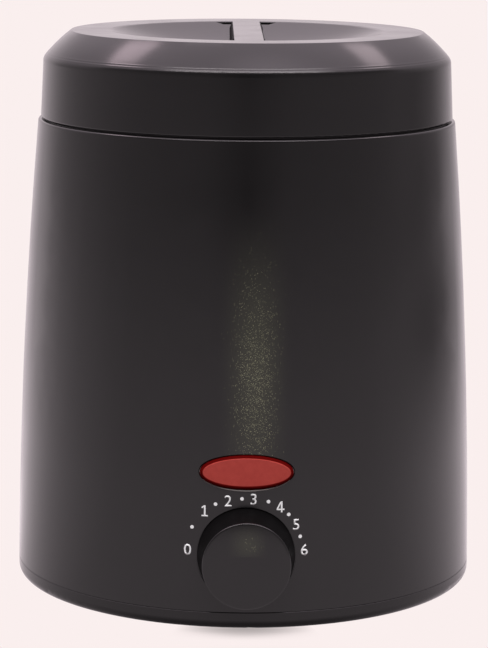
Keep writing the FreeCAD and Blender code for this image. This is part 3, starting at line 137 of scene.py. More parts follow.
skin_tree, skin_in, skin_out = effect_group("moulded_skin", {"Smooth": 0.14, "Satin": 0.19},
                                            {"Roughness": "Float", "Height": "Float"})
satin, grain = moulded_skin(skin_tree, add_node(skin_tree, "TexCoord", {}).outputs["Object"], skin_in)
feed(skin_tree, skin_out["Roughness"], satin)
feed(skin_tree, skin_out["Height"], grain)
# The flakes and the paler sheen are laid only in a streak fixed on the surface, as a painted highlight.
flake_tree, flake_in, flake_out = effect_group("flakes_and_painted_highlight", {
    "Plastic": PLASTIC_BLACK, "Painted Sheen": PAINTED_SHEEN, "Flake": FLAKE_GOLD, "Flakes Per Metre": 5000.0,
    "Lean": 0.24, "Smooth": 0.14, "Satin": 0.19, "Flake Gloss": 0.16, "Flake Share": 0.0, "Haze Share": 0.0,
    "Flow Line": 0.0024, "Flow Width": 0.0118, "Flow Bottom": 0.046, "Flow Middle": 0.082, "Flow Top": 0.135,
}, {"Color": "Color", "Metallic": "Float", "Roughness": "Float", "Height": "Float", "Normal": "Vector"})
spot = add_node(flake_tree, "TexCoord", {}).outputs["Object"]
cells = add_node(flake_tree, "TexVoronoi", {"Vector": spot, "Scale": flake_in["Flakes Per Metre"]})
draw = add_node(flake_tree, "SeparateColor", {"Color": cells.outputs["Color"]})
parts = add_node(flake_tree, "SeparateXYZ", {"Vector": spot})
aside = calculate(flake_tree, "ABSOLUTE",
                  calculate(flake_tree, "SUBTRACT", parts.outputs["X"], flake_in["Flow Line"]))
across = add_node(flake_tree, "MapRange", {"Value": aside, "From Max": flake_in["Flow Width"], "To Min": 1.0,
                                           "To Max": 0.0}, interpolation_type="SMOOTHSTEP").outputs["Result"]
below = add_node(flake_tree, "MapRange", {"Value": parts.outputs["Z"], "From Min": flake_in["Flow Bottom"],
                                          "From Max": flake_in["Flow Middle"]}).outputs["Result"]
above = add_node(flake_tree, "MapRange", {"Value": parts.outputs["Z"], "From Min": flake_in["Flow Middle"],
                                          "From Max": flake_in["Flow Top"], "To Min": 1.0, "To Max": 0.0},
                 interpolation_type="SMOOTHSTEP").outputs["Result"]
front = calculate(flake_tree, "LESS_THAN", parts.outputs["Y"], 0.0)
# The painted highlight's mask: a vertical streak down the front, where the flakes and the sheen are painted.
painted_highlight = calculate(flake_tree, "MULTIPLY", calculate(flake_tree, "MULTIPLY", across, front),
                 calculate(flake_tree, "MULTIPLY", calculate(flake_tree, "POWER", below, HIGHLIGHT_EASE), above))
dense = calculate(flake_tree, "MULTIPLY", calculate(flake_tree, "MULTIPLY", painted_highlight, painted_highlight),
                  flake_in["Flake Share"])
chosen = calculate(flake_tree, "LESS_THAN", draw.outputs["Red"], dense)
core = calculate(flake_tree, "LESS_THAN", cells.outputs["Distance"], FLAKE_CORE)
flake = calculate(flake_tree, "MULTIPLY", chosen, core)
lean = add_node(flake_tree, "TexWhiteNoise", {"Vector": cells.outputs["Color"]})
centred = add_node(flake_tree, "VectorMath", {0: lean.outputs["Color"], 1: (0.5, 0.5, 0.5)},
                   operation="SUBTRACT")
reach = calculate(flake_tree, "MULTIPLY", flake, flake_in["Lean"])
tilted = add_node(flake_tree, "VectorMath", {0: centred.outputs[0], "Scale": reach}, operation="SCALE")
facing = add_node(flake_tree, "NewGeometry", {}).outputs["Normal"]
summed = add_node(flake_tree, "VectorMath", {0: facing, 1: tilted.outputs[0]}, operation="ADD")
unit = add_node(flake_tree, "VectorMath", {0: summed.outputs[0]}, operation="NORMALIZE")
satin, grain = moulded_skin(flake_tree, spot, flake_in)
# The paler greenish colour mixed into the streak is a painted sheen.
with_painted_sheen = blended(flake_tree, calculate(flake_tree, "MULTIPLY", painted_highlight, flake_in["Haze Share"]),
               flake_in["Plastic"], flake_in["Painted Sheen"])
feed(flake_tree, flake_out["Color"], blended(flake_tree, flake, with_painted_sheen, flake_in["Flake"]))
feed(flake_tree, flake_out["Metallic"], flake)
gloss = add_node(flake_tree, "Mix", {"Factor": flake, 2: satin, 3: flake_in["Flake Gloss"]})
feed(flake_tree, flake_out["Roughness"], gloss.outputs[0])
feed(flake_tree, flake_out["Height"], grain)
feed(flake_tree, flake_out["Normal"], unit.outputs[0])
black_plastic = new_finish("black_plastic", skin_tree, {}, base_color=PLASTIC_BLACK, **SKIN_RELIEF)
casing_plastic = new_finish("casing_plastic", flake_tree, {"Flake Share": 0.40, "Haze Share": 1.0},
                            **SKIN_RELIEF)
dress(casing_plastic, "outer_casing")


# Dial print: the numbers 0 to 6 and the dots between them, pad printed in white on the casing in a ring
# round the knob. The ink is a thin raised film, wrapped on to the curved wall.

DIAL_CENTRE_HEIGHT = 0.02545
DIGIT_SIZE = 0.0049
DIGIT_HEFT = 0.00003
DIGIT_CURVE_STEPS = 6
DIGIT_HALF_SHARE = 0.35
DIGIT_HALF_HEIGHT = DIGIT_HALF_SHARE * DIGIT_SIZE
DOT_RADIUS = 0.00056
DOT_SIDES = 32
BAR_HEIGHT = 0.00042
STEM_WIDTH = 0.00050
ONE_FOOT = 0.00195
ONE_FLAG = 0.001125
ONE_FLAG_ASIDE = 0.00048
ONE_FLAG_DROP = 0.00042
ONE_FLAG_TURN = math.radians(-38)
INK_LIFT = 0.00006
INK_THICKNESS = 0.00005
FOUR_STEM = 0.00034
FOUR_CROSS = 0.00078
FOUR_WIDTH = 0.0024
DIGIT_PLACES = ((-0.01804, 0.00135), (-0.01280, 0.01401), (-0.00566, 0.01713), (0.00219, 0.01773),
                (0.01046, 0.01547), (0.01536, 0.00955), (0.01794, 0.00143))
DOT_PLACES = ((-0.01667, 0.00874), (-0.00950, 0.01625), (-0.00140, 0.01809), (0.00672, 0.01721),
              (0.01300, 0.01300), (0.01663, 0.00593))
PRINT_PLANE = -0.080
ONTO_WALL = {"target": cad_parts["outer_casing"], "wrap_method": "PROJECT", "use_project_y": True,
             "use_negative_direction": False, "use_positive_direction": True}


def pick(piece):
    """Select one piece alone and make it active."""
    bpy.ops.object.select_all(action="DESELECT")
    piece.select_set(True)
    bpy.context.view_layer.objects.active = piece


def settle(piece):
    """Move a piece's place into its mesh, so that its object sits at the origin."""
    pick(piece)
    bpy.ops.object.transform_apply(location=True, rotation=True, scale=True)


def finish_with(piece, kind, **settings):
    """Add one modifier to a piece and apply it."""
    pick(piece)
    modifier = piece.modifiers.new(kind.lower(), kind)
    for key, value in settings.items():
        setattr(modifier, key, value)
    bpy.ops.object.modifier_apply(modifier=modifier.name)


def paint(piece, *finishes):
    """Give a new piece its finishes."""
    piece.data.materials.clear()
    for finish in finishes:
        piece.data.materials.append(finish)


def joined(name, pieces):
    """Several meshes made one piece."""
    bpy.ops.object.select_all(action="DESELECT")
    for piece in pieces:
        piece.select_set(True)
    bpy.context.view_layer.objects.active = pieces[0]
    bpy.ops.object.join()
    pieces[0].name = name
    return pieces[0]


def print_bar(across, up, width, height, turn=0.0):
    """A flat bar of ink in front of the casing, by its middle and its size."""
    bpy.ops.object.select_all(action="DESELECT")
    bpy.ops.mesh.primitive_plane_add(size=1.0, location=(across, PRINT_PLANE, DIAL_CENTRE_HEIGHT + up),
                                     rotation=(math.pi / 2, turn, 0.0))
    bar = bpy.context.object
    bar.scale = (width, height, 1.0)
    settle(bar)
    return bar


marks = []
for number, (across, up) in enumerate(DIGIT_PLACES):
    if number == 1:
        marks.append(print_bar(across, up, STEM_WIDTH, 2 * DIGIT_HALF_HEIGHT))
        marks.append(print_bar(across, up - DIGIT_HALF_HEIGHT + BAR_HEIGHT / 2, ONE_FOOT, BAR_HEIGHT))
        marks.append(print_bar(across - ONE_FLAG_ASIDE, up + DIGIT_HALF_HEIGHT - ONE_FLAG_DROP, ONE_FLAG,
                               BAR_HEIGHT, ONE_FLAG_TURN))
        continue
    if number == 4:
        marks.append(print_bar(across + FOUR_STEM, up, STEM_WIDTH, 2 * DIGIT_HALF_HEIGHT))
        marks.append(print_bar(across, up - FOUR_CROSS, FOUR_WIDTH, BAR_HEIGHT))
        rise = DIGIT_HALF_HEIGHT + FOUR_CROSS - BAR_HEIGHT
        run = FOUR_WIDTH / 2 + FOUR_STEM - STEM_WIDTH
        marks.append(print_bar(across + (FOUR_STEM - FOUR_WIDTH / 2) / 2,
                               up + (DIGIT_HALF_HEIGHT - FOUR_CROSS) / 2, math.hypot(run, rise), BAR_HEIGHT,
                               -math.atan2(rise, run)))
        continue
    bpy.ops.object.select_all(action="DESELECT")
    bpy.ops.object.text_add(location=(across, PRINT_PLANE, DIAL_CENTRE_HEIGHT + up),
                            rotation=(math.pi / 2, 0.0, 0.0))
    digit = bpy.context.object
    digit.data.body = str(number)
    digit.data.size = DIGIT_SIZE
    digit.data.offset = DIGIT_HEFT
    digit.data.align_x = "CENTER"
    digit.data.align_y = "CENTER"
    digit.data.resolution_u = DIGIT_CURVE_STEPS
    bpy.ops.object.convert(target="MESH")
    settle(digit)
    marks.append(digit)
for across, up in DOT_PLACES:
    bpy.ops.object.select_all(action="DESELECT")
    bpy.ops.mesh.primitive_circle_add(vertices=DOT_SIDES, radius=DOT_RADIUS, fill_type="NGON",
                                      location=(across, PRINT_PLANE, DIAL_CENTRE_HEIGHT + up),
                                      rotation=(math.pi / 2, 0.0, 0.0))
    dot = bpy.context.object
    settle(dot)
    marks.append(dot)
dial_print = joined("dial_print", marks)
finish_with(dial_print, "SHRINKWRAP", offset=INK_LIFT, **ONTO_WALL)
finish_with(dial_print, "SOLIDIFY", thickness=INK_THICKNESS, offset=0.0)

grain_tree, grain_in, grain_out = effect_group("surface_grain", {
    "Light": (0.8, 0.8, 0.8, 1.0), "Dark": (0.7, 0.7, 0.7, 1.0), "Patches Per Metre": 80.0,
    "Grain Per Metre": 3000.0, "Smooth": 0.4, "Rough": 0.6,
}, {"Color": "Color", "Roughness": "Float", "Height": "Float"})
spot = add_node(grain_tree, "TexCoord", {}).outputs["Object"]
patches = add_node(grain_tree, "TexNoise", {"Vector": spot, "Scale": grain_in["Patches Per Metre"],
                                            "Detail": 4.0})
shade = add_node(grain_tree, "MapRange", {"Value": patches.outputs["Fac"], **NOISE_SPREAD})
worn = add_node(grain_tree, "MapRange", {"Value": patches.outputs["Fac"], "To Min": grain_in["Smooth"],
                                         "To Max": grain_in["Rough"], **NOISE_SPREAD})
grain = add_node(grain_tree, "TexNoise", {"Vector": spot, "Scale": grain_in["Grain Per Metre"],
                                          "Detail": 2.0})
feed(grain_tree, grain_out["Color"],
     blended(grain_tree, shade.outputs["Result"], grain_in["Light"], grain_in["Dark"]))
feed(grain_tree, grain_out["Roughness"], worn.outputs["Result"])
feed(grain_tree, grain_out["Height"], grain.outputs["Fac"])
dial_ink = new_finish("dial_ink", grain_tree, {
    "Light": (0.89, 0.93, 0.92, 1.0), "Dark": (0.83, 0.87, 0.86, 1.0), "Patches Per Metre": 900.0,
    "Smooth": 0.42, "Rough": 0.55,
}, bump=0.05, depth=0.00002)
paint(dial_print, dial_ink)
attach(dial_print, "casing")


# Base cover: the floor of the warmer with its rounded foot edge and vents, moulded in the same plastic as
# the casing but a little duller. The tie bolt draws it up against the casing's lower edge.

base_plastic = new_finish("base_plastic", skin_tree, {}, base_color=PLASTIC_BLACK, specular_ior_level=0.42,
                          **SKIN_RELIEF)
dress(base_plastic, "base_cover")


# Rubber feet: four soft black feet, each pushed through the base cover by a barbed stem. Their soles have
# a matt moulded skin.

foot_rubber = new_finish("foot_rubber", grain_tree, {
    "Light": (0.022, 0.022, 0.023, 1.0), "Dark": (0.034, 0.034, 0.035, 1.0), "Patches Per Metre": 160.0,
    "Grain Per Metre": 2400.0, "Smooth": 0.62, "Rough": 0.82,
}, bump=0.35, depth=0.00006)
dress(foot_rubber, "rubber_feet")


# Heating well: the spun aluminium cup that hangs from the deck by its flange. The spinning tool leaves
# fine rings round its axis.

SMEARS_PER_METRE = 70.0

spun_tree, spun_in, spun_out = effect_group("spun_rings", {
    "Light": (0.78, 0.78, 0.79, 1.0), "Dark": (0.60, 0.60, 0.61, 1.0), "Rings Per Metre": 1500.0,
    "Smooth": 0.22, "Rough": 0.38,
}, {"Color": "Color", "Roughness": "Float", "Height": "Float"})
spot = add_node(spun_tree, "TexCoord", {}).outputs["Object"]
parts = add_node(spun_tree, "SeparateXYZ", {"Vector": spot})
flat = add_node(spun_tree, "CombineXYZ", {"X": parts.outputs["X"], "Y": parts.outputs["Y"]})
radius = add_node(spun_tree, "VectorMath", {0: flat.outputs[0]}, operation="LENGTH")
ring_place = add_node(spun_tree, "CombineXYZ", {"X": radius.outputs["Value"], "Y": parts.outputs["Z"]})
rings = add_node(spun_tree, "TexNoise", {"Vector": ring_place.outputs[0], "Scale": spun_in["Rings Per Metre"],
                                         "Detail": 3.0})
smear = add_node(spun_tree, "TexNoise", {"Vector": spot, "Scale": SMEARS_PER_METRE, "Detail": 4.0})
bands = add_node(spun_tree, "MapRange", {"Value": rings.outputs["Fac"], "From Min": 0.25, "From Max": 0.75})
dull = add_node(spun_tree, "MapRange", {"Value": smear.outputs["Fac"], "To Min": spun_in["Smooth"],
                                        "To Max": spun_in["Rough"], **NOISE_SPREAD})
feed(spun_tree, spun_out["Color"],
     blended(spun_tree, bands.outputs["Result"], spun_in["Light"], spun_in["Dark"]))
feed(spun_tree, spun_out["Roughness"], dull.outputs["Result"])
feed(spun_tree, spun_out["Height"], rings.outputs["Fac"])
well_aluminium = new_finish("well_aluminium", spun_tree, {
    "Light": (0.70, 0.70, 0.71, 1.0), "Dark": (0.54, 0.54, 0.55, 1.0), "Smooth": 0.28, "Rough": 0.44,
}, bump=0.25, depth=0.00004, metallic=1.0)
dress(well_aluminium, "heating_well")


# Well gasket: a pale moulded ring of silicone. It lies on the casing's deck under the well's flange and keeps
# the heat off the deck.

gasket_silicone = new_finish("gasket_silicone", grain_tree, {
    "Light": (0.62, 0.60, 0.56, 1.0), "Dark": (0.55, 0.53, 0.49, 1.0), "Patches Per Metre": 120.0,
    "Smooth": 0.48, "Rough": 0.62,
}, bump=0.15, depth=0.00004)
dress(gasket_silicone, "well_gasket")


# Band heater and its strap: a mica element in a rolled steel jacket, clamped round the well by a steel
# strap. The heat has straw-coloured the sheet in places.

rolled_steel = new_finish("rolled_steel", grain_tree, {
    "Light": (0.52, 0.52, 0.53, 1.0), "Dark": (0.44, 0.39, 0.33, 1.0), "Patches Per Metre": 45.0,
    "Grain Per Metre": 1800.0, "Smooth": 0.30, "Rough": 0.46,
}, bump=0.12, depth=0.00003, metallic=1.0)
dress(rolled_steel, "band_heater", "heater_strap")


# Insulation wrap: a needled glass-fibre blanket, off-white with a loose felted surface. It is laid round the
# heater and left open where the strap's lugs stand out.

glass_felt = new_finish("glass_felt", grain_tree, {
    "Light": (0.78, 0.75, 0.68, 1.0), "Dark": (0.64, 0.60, 0.52, 1.0), "Patches Per Metre": 220.0,
    "Grain Per Metre": 900.0, "Smooth": 0.85, "Rough": 0.97,
}, bump=0.9, depth=0.0003)
dress(glass_felt, "insulation_wrap")


# Screws, nuts, washers, clips and the thermostat's shaft: small steel parts with a bright zinc plating
# that has a slight bluish cloud.

zinc_plate = new_finish("zinc_plate", grain_tree, {
    "Light": (0.64, 0.65, 0.67, 1.0), "Dark": (0.52, 0.54, 0.55, 1.0), "Patches Per Metre": 300.0,
    "Grain Per Metre": 4000.0, "Smooth": 0.24, "Rough": 0.36,
}, bump=0.1, depth=0.00002, metallic=1.0)
dress(zinc_plate, "tie_bolt", "tie_washer", "well_nut", "strap_screw", "strap_nut", "bulb_clips",
      "lock_washer", "knob_spring", "thermostat_shaft")


# Sensor bulb and its capillary: drawn copper, filled and sealed, which carries the well's heat as pressure
# to the thermostat.

drawn_copper = new_finish("drawn_copper", grain_tree, {
    "Light": (0.70, 0.36, 0.22, 1.0), "Dark": (0.48, 0.22, 0.13, 1.0), "Patches Per Metre": 180.0,
    "Grain Per Metre": 3000.0, "Smooth": 0.24, "Rough": 0.42,
}, bump=0.08, depth=0.00002, metallic=1.0)
dress(drawn_copper, "sensor_bulb", "capillary_tube")


# Thermal fuse and its clip: a plain drawn aluminium can with a lead at each end. The clip is a bored
# aluminium block that holds it under the well.

fuse_can = new_finish("fuse_can", grain_tree, {
    "Light": (0.69, 0.70, 0.71, 1.0), "Dark": (0.58, 0.59, 0.60, 1.0), "Patches Per Metre": 240.0,
    "Grain Per Metre": 3500.0, "Smooth": 0.30, "Rough": 0.42,
}, bump=0.1, depth=0.00002, metallic=1.0)
dress(fuse_can, "thermal_fuse", "fuse_clip")


# Thermostat: a box moulded in dark brown phenolic. It stands behind the casing's front wall, held by its
# threaded brass bush and a nut.

phenolic = new_finish("phenolic", grain_tree, {
    "Light": (0.070, 0.048, 0.036, 1.0), "Dark": (0.050, 0.034, 0.027, 1.0), "Patches Per Metre": 260.0,
    "Grain Per Metre": 1800.0, "Smooth": 0.36, "Rough": 0.52,
}, bump=0.15, depth=0.00004)
dress(phenolic, "thermostat_housing")


# Bush, nut, tabs and inlet pins: bare brass, slightly darkened by handling. The bush and nut are turned, and
# the tabs and pins are stamped from strip.

bare_brass = new_finish("bare_brass", grain_tree, {
    "Light": (0.74, 0.57, 0.26, 1.0), "Dark": (0.58, 0.42, 0.17, 1.0), "Patches Per Metre": 320.0,
    "Grain Per Metre": 4000.0, "Smooth": 0.22, "Rough": 0.38,
}, bump=0.08, depth=0.00002, metallic=1.0)
dress(bare_brass, "thermostat_bush", "bush_nut", "thermostat_tabs", "heater_tabs", "earth_tab", "inlet_pins")


# Lamp lens: a clear red moulding pressed into the casing's oval hole. Its face is lightly pebbled to
# spread the light. A ring round its face, over the bevelled edge, is painted a black red as painted shade
# from the hole it sits in.

LENS_HEIGHT = 0.0517
LENS_SHADE_RING_RISE = 0.0003
LENS_HALF_WIDTH = 0.01435
LENS_HALF_HEIGHT = 0.00535
LENS_FACE_HALF_WIDTH = 0.01352
LENS_FACE_HALF_HEIGHT = 0.00437
LENS_CLOUDS_PER_METRE = 700.0
LENS_GLOSS = (0.34, 0.44)

lens_tree, lens_in, lens_out = effect_group("lens_zones", {
    "Face": (0.42, 0.067, 0.054, 1.0), "Cloud": (0.32, 0.046, 0.037, 1.0),
    "Edge": (0.082, 0.0022, 0.0020, 1.0), "Face Starts": 0.985, "Edge Starts": 1.01,
    "Pebbles Per Metre": 1500.0,
}, {"Color": "Color", "Roughness": "Float", "Height": "Float"})
spot = add_node(lens_tree, "TexCoord", {}).outputs["Object"]
parts = add_node(lens_tree, "SeparateXYZ", {"Vector": spot})
lens_x = calculate(lens_tree, "DIVIDE", parts.outputs["X"], LENS_FACE_HALF_WIDTH)
lens_up = calculate(lens_tree, "SUBTRACT", parts.outputs["Z"], LENS_HEIGHT + LENS_SHADE_RING_RISE)
lens_z = calculate(lens_tree, "DIVIDE", lens_up, LENS_FACE_HALF_HEIGHT)
oval = add_node(lens_tree, "CombineXYZ", {"X": lens_x, "Y": lens_z})
reach = add_node(lens_tree, "VectorMath", {0: oval.outputs[0]}, operation="LENGTH")
# The oval ring outside the face is the painted shade, its centre raised a little off the lens's middle.
painted_edge_shade = add_node(lens_tree, "MapRange", {"Value": reach.outputs["Value"], "From Min": lens_in["Face Starts"],
                                       "From Max": lens_in["Edge Starts"]}, interpolation_type="SMOOTHSTEP")
cloud = add_node(lens_tree, "TexNoise", {"Vector": spot, "Scale": LENS_CLOUDS_PER_METRE, "Detail": 3.0})
pebbles = add_node(lens_tree, "TexNoise", {"Vector": spot, "Scale": lens_in["Pebbles Per Metre"],
                                           "Detail": 1.0})
mottled = blended(lens_tree, cloud.outputs["Fac"], lens_in["Face"], lens_in["Cloud"])
feed(lens_tree, lens_out["Color"], blended(lens_tree, painted_edge_shade.outputs["Result"], mottled, lens_in["Edge"]))
worn = add_node(lens_tree, "MapRange", {"Value": cloud.outputs["Fac"], "To Min": LENS_GLOSS[0],
                                        "To Max": LENS_GLOSS[1]})
feed(lens_tree, lens_out["Roughness"], worn.outputs["Result"])
feed(lens_tree, lens_out["Height"], pebbles.outputs["Fac"])
lens_red = new_finish("lens_red", lens_tree, {}, bump=0.22, depth=0.00005, ior=1.49, specular_ior_level=0.0)
dress(lens_red, "lamp_lens")


# Lens lip: the casing's plastic stands up in a fine crescent under the lens, where the mould's oval core met
# the wall. It leans out of the wall at the bottom and runs out at the sides, and it is painted pale as a
# painted highlight.

LIP_STATIONS = ((0.00010, 0.00042), (0.00020, 0.00027), (0.00042, 0.00027), (0.00052, 0.00042))
LIP_LEAN = math.radians(7.5)
LIP_SIDES = 120
LIP_INSET = 0.00028
LENS_HOLE_GAP = 0.00015
SMOOTH_BELOW = math.radians(30)

bpy.ops.object.select_all(action="DESELECT")
bpy.ops.mesh.primitive_circle_add(vertices=LIP_SIDES, radius=1.0, location=(0.0, PRINT_PLANE, LENS_HEIGHT),
                                  rotation=(math.pi / 2, 0.0, 0.0))
lip = bpy.context.object
lip.name = "lens_lip"
lip_half = [(LENS_HALF_WIDTH + LENS_HOLE_GAP + grow, LENS_HALF_HEIGHT + LENS_HOLE_GAP + grow)
            for grow, sink in LIP_STATIONS]
lip.scale = (lip_half[0][0], lip_half[0][1], 1.0)
settle(lip)
bpy.ops.object.mode_set(mode="EDIT")
bpy.ops.mesh.select_all(action="SELECT")
for (wide, high), (next_wide, next_high) in zip(lip_half, lip_half[1:]):
    bpy.ops.mesh.extrude_region_move()
    bpy.ops.transform.resize(value=(next_wide / wide, 1.0, next_high / high),
                             center_override=(0.0, PRINT_PLANE, LENS_HEIGHT))
bpy.ops.object.mode_set(mode="OBJECT")
finish_with(lip, "SHRINKWRAP", **ONTO_WALL)


def shift_vertices(piece, indices, step):
    """Move some of a piece's vertices by one step."""
    bpy.ops.object.mode_set(mode="EDIT")
    bpy.ops.mesh.select_mode(type="VERT")
    bpy.ops.mesh.select_all(action="DESELECT")
    bpy.ops.object.mode_set(mode="OBJECT")
    for index in indices:
        piece.data.vertices[index].select = True
    bpy.ops.object.mode_set(mode="EDIT")
    bpy.ops.transform.translate(value=step)
    bpy.ops.object.mode_set(mode="OBJECT")


for ring, (grow, sink) in enumerate(LIP_STATIONS):
    shift_vertices(lip, range(ring * LIP_SIDES, (ring + 1) * LIP_SIDES), (0.0, sink, 0.0))
bpy.ops.object.mode_set(mode="EDIT")
bpy.ops.mesh.select_all(action="SELECT")
bpy.ops.transform.rotate(value=LIP_LEAN, orient_axis="X",
                         center_override=(0.0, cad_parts["lamp_lens"].bound_box[0][1], LENS_HEIGHT))
bpy.ops.transform.resize(value=(1 - LIP_INSET / LENS_HALF_WIDTH, 1.0, 1 - LIP_INSET / LENS_HALF_HEIGHT),
                         center_override=(0.0, PRINT_PLANE, LENS_HEIGHT))
bpy.ops.mesh.select_all(action="DESELECT")
bpy.ops.mesh.select_non_manifold()
bpy.ops.mesh.bridge_edge_loops()
bpy.ops.mesh.select_all(action="SELECT")
bpy.ops.mesh.normals_make_consistent(inside=False)
bpy.ops.object.mode_set(mode="OBJECT")
bpy.ops.object.shade_smooth_by_angle(angle=SMOOTH_BELOW)
# The lip's pale colour is a painted highlight: the light line that the hole's lower edge catches.
lip_painted_highlight = new_finish("lip_painted_highlight", grain_tree, {
    "Light": (0.22, 0.205, 0.195, 1.0), "Dark": (0.18, 0.165, 0.155, 1.0), "Patches Per Metre": 400.0,
    "Smooth": 0.45, "Rough": 0.55,
}, bump=0.05, depth=0.00002)
paint(lip, lip_painted_highlight)
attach(lip, "casing")


# Lamp holder: a cup moulded in natural nylon, which is a cloudy ivory. It sits behind the lens, grips the
# lens's barrel and holds the neon lamp's two pins.

natural_nylon = new_finish("natural_nylon", grain_tree, {
    "Light": (0.78, 0.77, 0.72, 1.0), "Dark": (0.72, 0.70, 0.63, 1.0), "Patches Per Metre": 180.0,
    "Smooth": 0.42, "Rough": 0.55,
}, bump=0.1, depth=0.00003)
dress(natural_nylon, "lamp_holder")


# Neon lamp: a small sealed tube of clear glass inside the lens, on two pins through the holder. It glows
# when the heater is on.

lamp_glass = new_finish("lamp_glass", grain_tree, {
    "Light": (0.96, 0.88, 0.82, 1.0), "Dark": (0.92, 0.82, 0.75, 1.0), "Patches Per Metre": 500.0,
    "Smooth": 0.04, "Rough": 0.10,
}, bump=0.02, depth=0.00001, transmission_weight=0.9, ior=1.5)
dress(lamp_glass, "neon_lamp")


# Mains inlet: a socket moulded in black nylon with a fine spark-eroded grain. It is let into a flat at the
# rear of the casing, low down.

inlet_nylon = new_finish("inlet_nylon", grain_tree, {
    "Light": (0.016, 0.016, 0.017, 1.0), "Dark": (0.024, 0.024, 0.025, 1.0), "Patches Per Metre": 200.0,
    "Grain Per Metre": 2600.0, "Smooth": 0.38, "Rough": 0.52,
}, bump=0.25, depth=0.00005)
dress(inlet_nylon, "inlet_socket")


# Wires: stranded copper in brown, blue and green plastic sleeves. Near the heat the sleeves are white
# braided glass fibre.

def sleeve(name, light, dark):
    """A glossy wire sleeve of one colour."""
    return new_finish(name, grain_tree, {
        "Light": light, "Dark": dark, "Patches Per Metre": 260.0, "Grain Per Metre": 2200.0, "Smooth": 0.34,
        "Rough": 0.46,
    }, bump=0.1, depth=0.00003)


dress(sleeve("live_brown", (0.20, 0.08, 0.035, 1.0), (0.15, 0.06, 0.028, 1.0)), "live_wire")
dress(sleeve("neutral_blue", (0.04, 0.14, 0.45, 1.0), (0.03, 0.11, 0.36, 1.0)), "neutral_wire")
dress(sleeve("earth_green", (0.20, 0.42, 0.08, 1.0), (0.15, 0.34, 0.06, 1.0)), "earth_wire")
heat_braid = new_finish("heat_braid", grain_tree, {
    "Light": (0.80, 0.79, 0.75, 1.0), "Dark": (0.66, 0.64, 0.58, 1.0), "Patches Per Metre": 700.0,
    "Grain Per Metre": 1500.0, "Smooth": 0.75, "Rough": 0.92,
}, bump=0.6, depth=0.0001)
dress(heat_braid, "load_wire", "heater_lead", "lamp_leads")


# Control knob: a plain round knob with a slightly domed face, moulded in the casing's plastic and pushed
# on to the thermostat's flatted shaft. Its skirt, with a pointer line cut in it, is painted darker and almost
# without gloss as painted shade, and the upper face carries a painted highlight of greenish sheen and a few
# flakes.

KNOB_REAR = -0.07332
KNOB_FRONT = -0.08677
KNOB_BASE_RADIUS = 0.0151
KNOB_FACE_RADIUS = 0.0136
KNOB_EDGE = 0.0006
KNOB_CROWN = 0.00045
KNOB_WALL = 0.0018
KNOB_SIDES = 160
SKIRT_RINGS = 12
EDGE_RINGS = 6
DOME_RINGS = 14
DOME_POWER = 4
SKIRT_FACES_ASIDE = 0.2
KNOB_SMOOTH_BELOW = math.radians(40)
POINTER_ANGLE = math.radians(173)
POINTER_HALF_WIDTH = 0.0006
POINTER_DEPTH = 0.0005
POINTER_LENGTH = 0.0070


def ring_through(stations, centre, axis):
    """Extrude the selected ring through stations of (radius, place on the axis). It is at the first one."""
    for (radius, place), (next_radius, next_place) in zip(stations, stations[1:]):
        bpy.ops.mesh.extrude_region_move(TRANSFORM_OT_translate={"value": axis * (next_place - place)})
        share = next_radius / radius
        bpy.ops.transform.resize(value=[1.0 if along else share for along in axis],
                                 center_override=centre + axis * next_place)


knob_stations = [(KNOB_FACE_RADIUS - KNOB_WALL, KNOB_FRONT + KNOB_WALL),
                 (KNOB_BASE_RADIUS - KNOB_WALL, KNOB_REAR)]
for step in range(SKIRT_RINGS + 1):
    share = step / SKIRT_RINGS
    knob_stations.append((KNOB_BASE_RADIUS + share * (KNOB_FACE_RADIUS - KNOB_BASE_RADIUS),
                          KNOB_REAR + share * (KNOB_FRONT + KNOB_EDGE - KNOB_REAR)))
for step in range(1, EDGE_RINGS + 1):
    turn = math.pi / 2 * step / EDGE_RINGS
    knob_stations.append((KNOB_FACE_RADIUS - KNOB_EDGE * (1 - math.cos(turn)),
                          KNOB_FRONT + KNOB_EDGE - KNOB_EDGE * math.sin(turn)))
dome_radius = KNOB_FACE_RADIUS - KNOB_EDGE
for ring in range(1, DOME_RINGS):
    radius = dome_radius * (1 - ring / DOME_RINGS)
    knob_stations.append((radius, KNOB_FRONT - KNOB_CROWN * (1 - (radius / dome_radius) ** DOME_POWER)))
bpy.ops.object.select_all(action="DESELECT")
bpy.ops.mesh.primitive_circle_add(vertices=KNOB_SIDES, radius=knob_stations[0][0],
                                  location=(0.0, knob_stations[0][1], DIAL_CENTRE_HEIGHT),
                                  rotation=(math.pi / 2, 0.0, 0.0))
knob = bpy.context.object
knob.name = "knob_moulding"
settle(knob)
bpy.ops.object.mode_set(mode="EDIT")
bpy.ops.mesh.select_all(action="SELECT")
ring_through(knob_stations, Vector((0.0, 0.0, DIAL_CENTRE_HEIGHT)), Vector((0.0, 1.0, 0.0)))
bpy.ops.mesh.edge_face_add()
bpy.ops.mesh.poke()
bpy.ops.mesh.select_all(action="DESELECT")
bpy.ops.object.mode_set(mode="OBJECT")
for vertex in knob.data.vertices[:KNOB_SIDES]:
    vertex.select = True
bpy.ops.object.mode_set(mode="EDIT")
bpy.ops.mesh.edge_face_add()
bpy.ops.mesh.select_all(action="SELECT")
bpy.ops.mesh.normals_make_consistent(inside=False)
bpy.ops.mesh.select_all(action="DESELECT")
bpy.ops.object.mode_set(mode="OBJECT")
pointer_away = Vector((math.sin(POINTER_ANGLE), 0.0, math.cos(POINTER_ANGLE)))
pointer_across = Vector((math.cos(POINTER_ANGLE), 0.0, -math.sin(POINTER_ANGLE)))
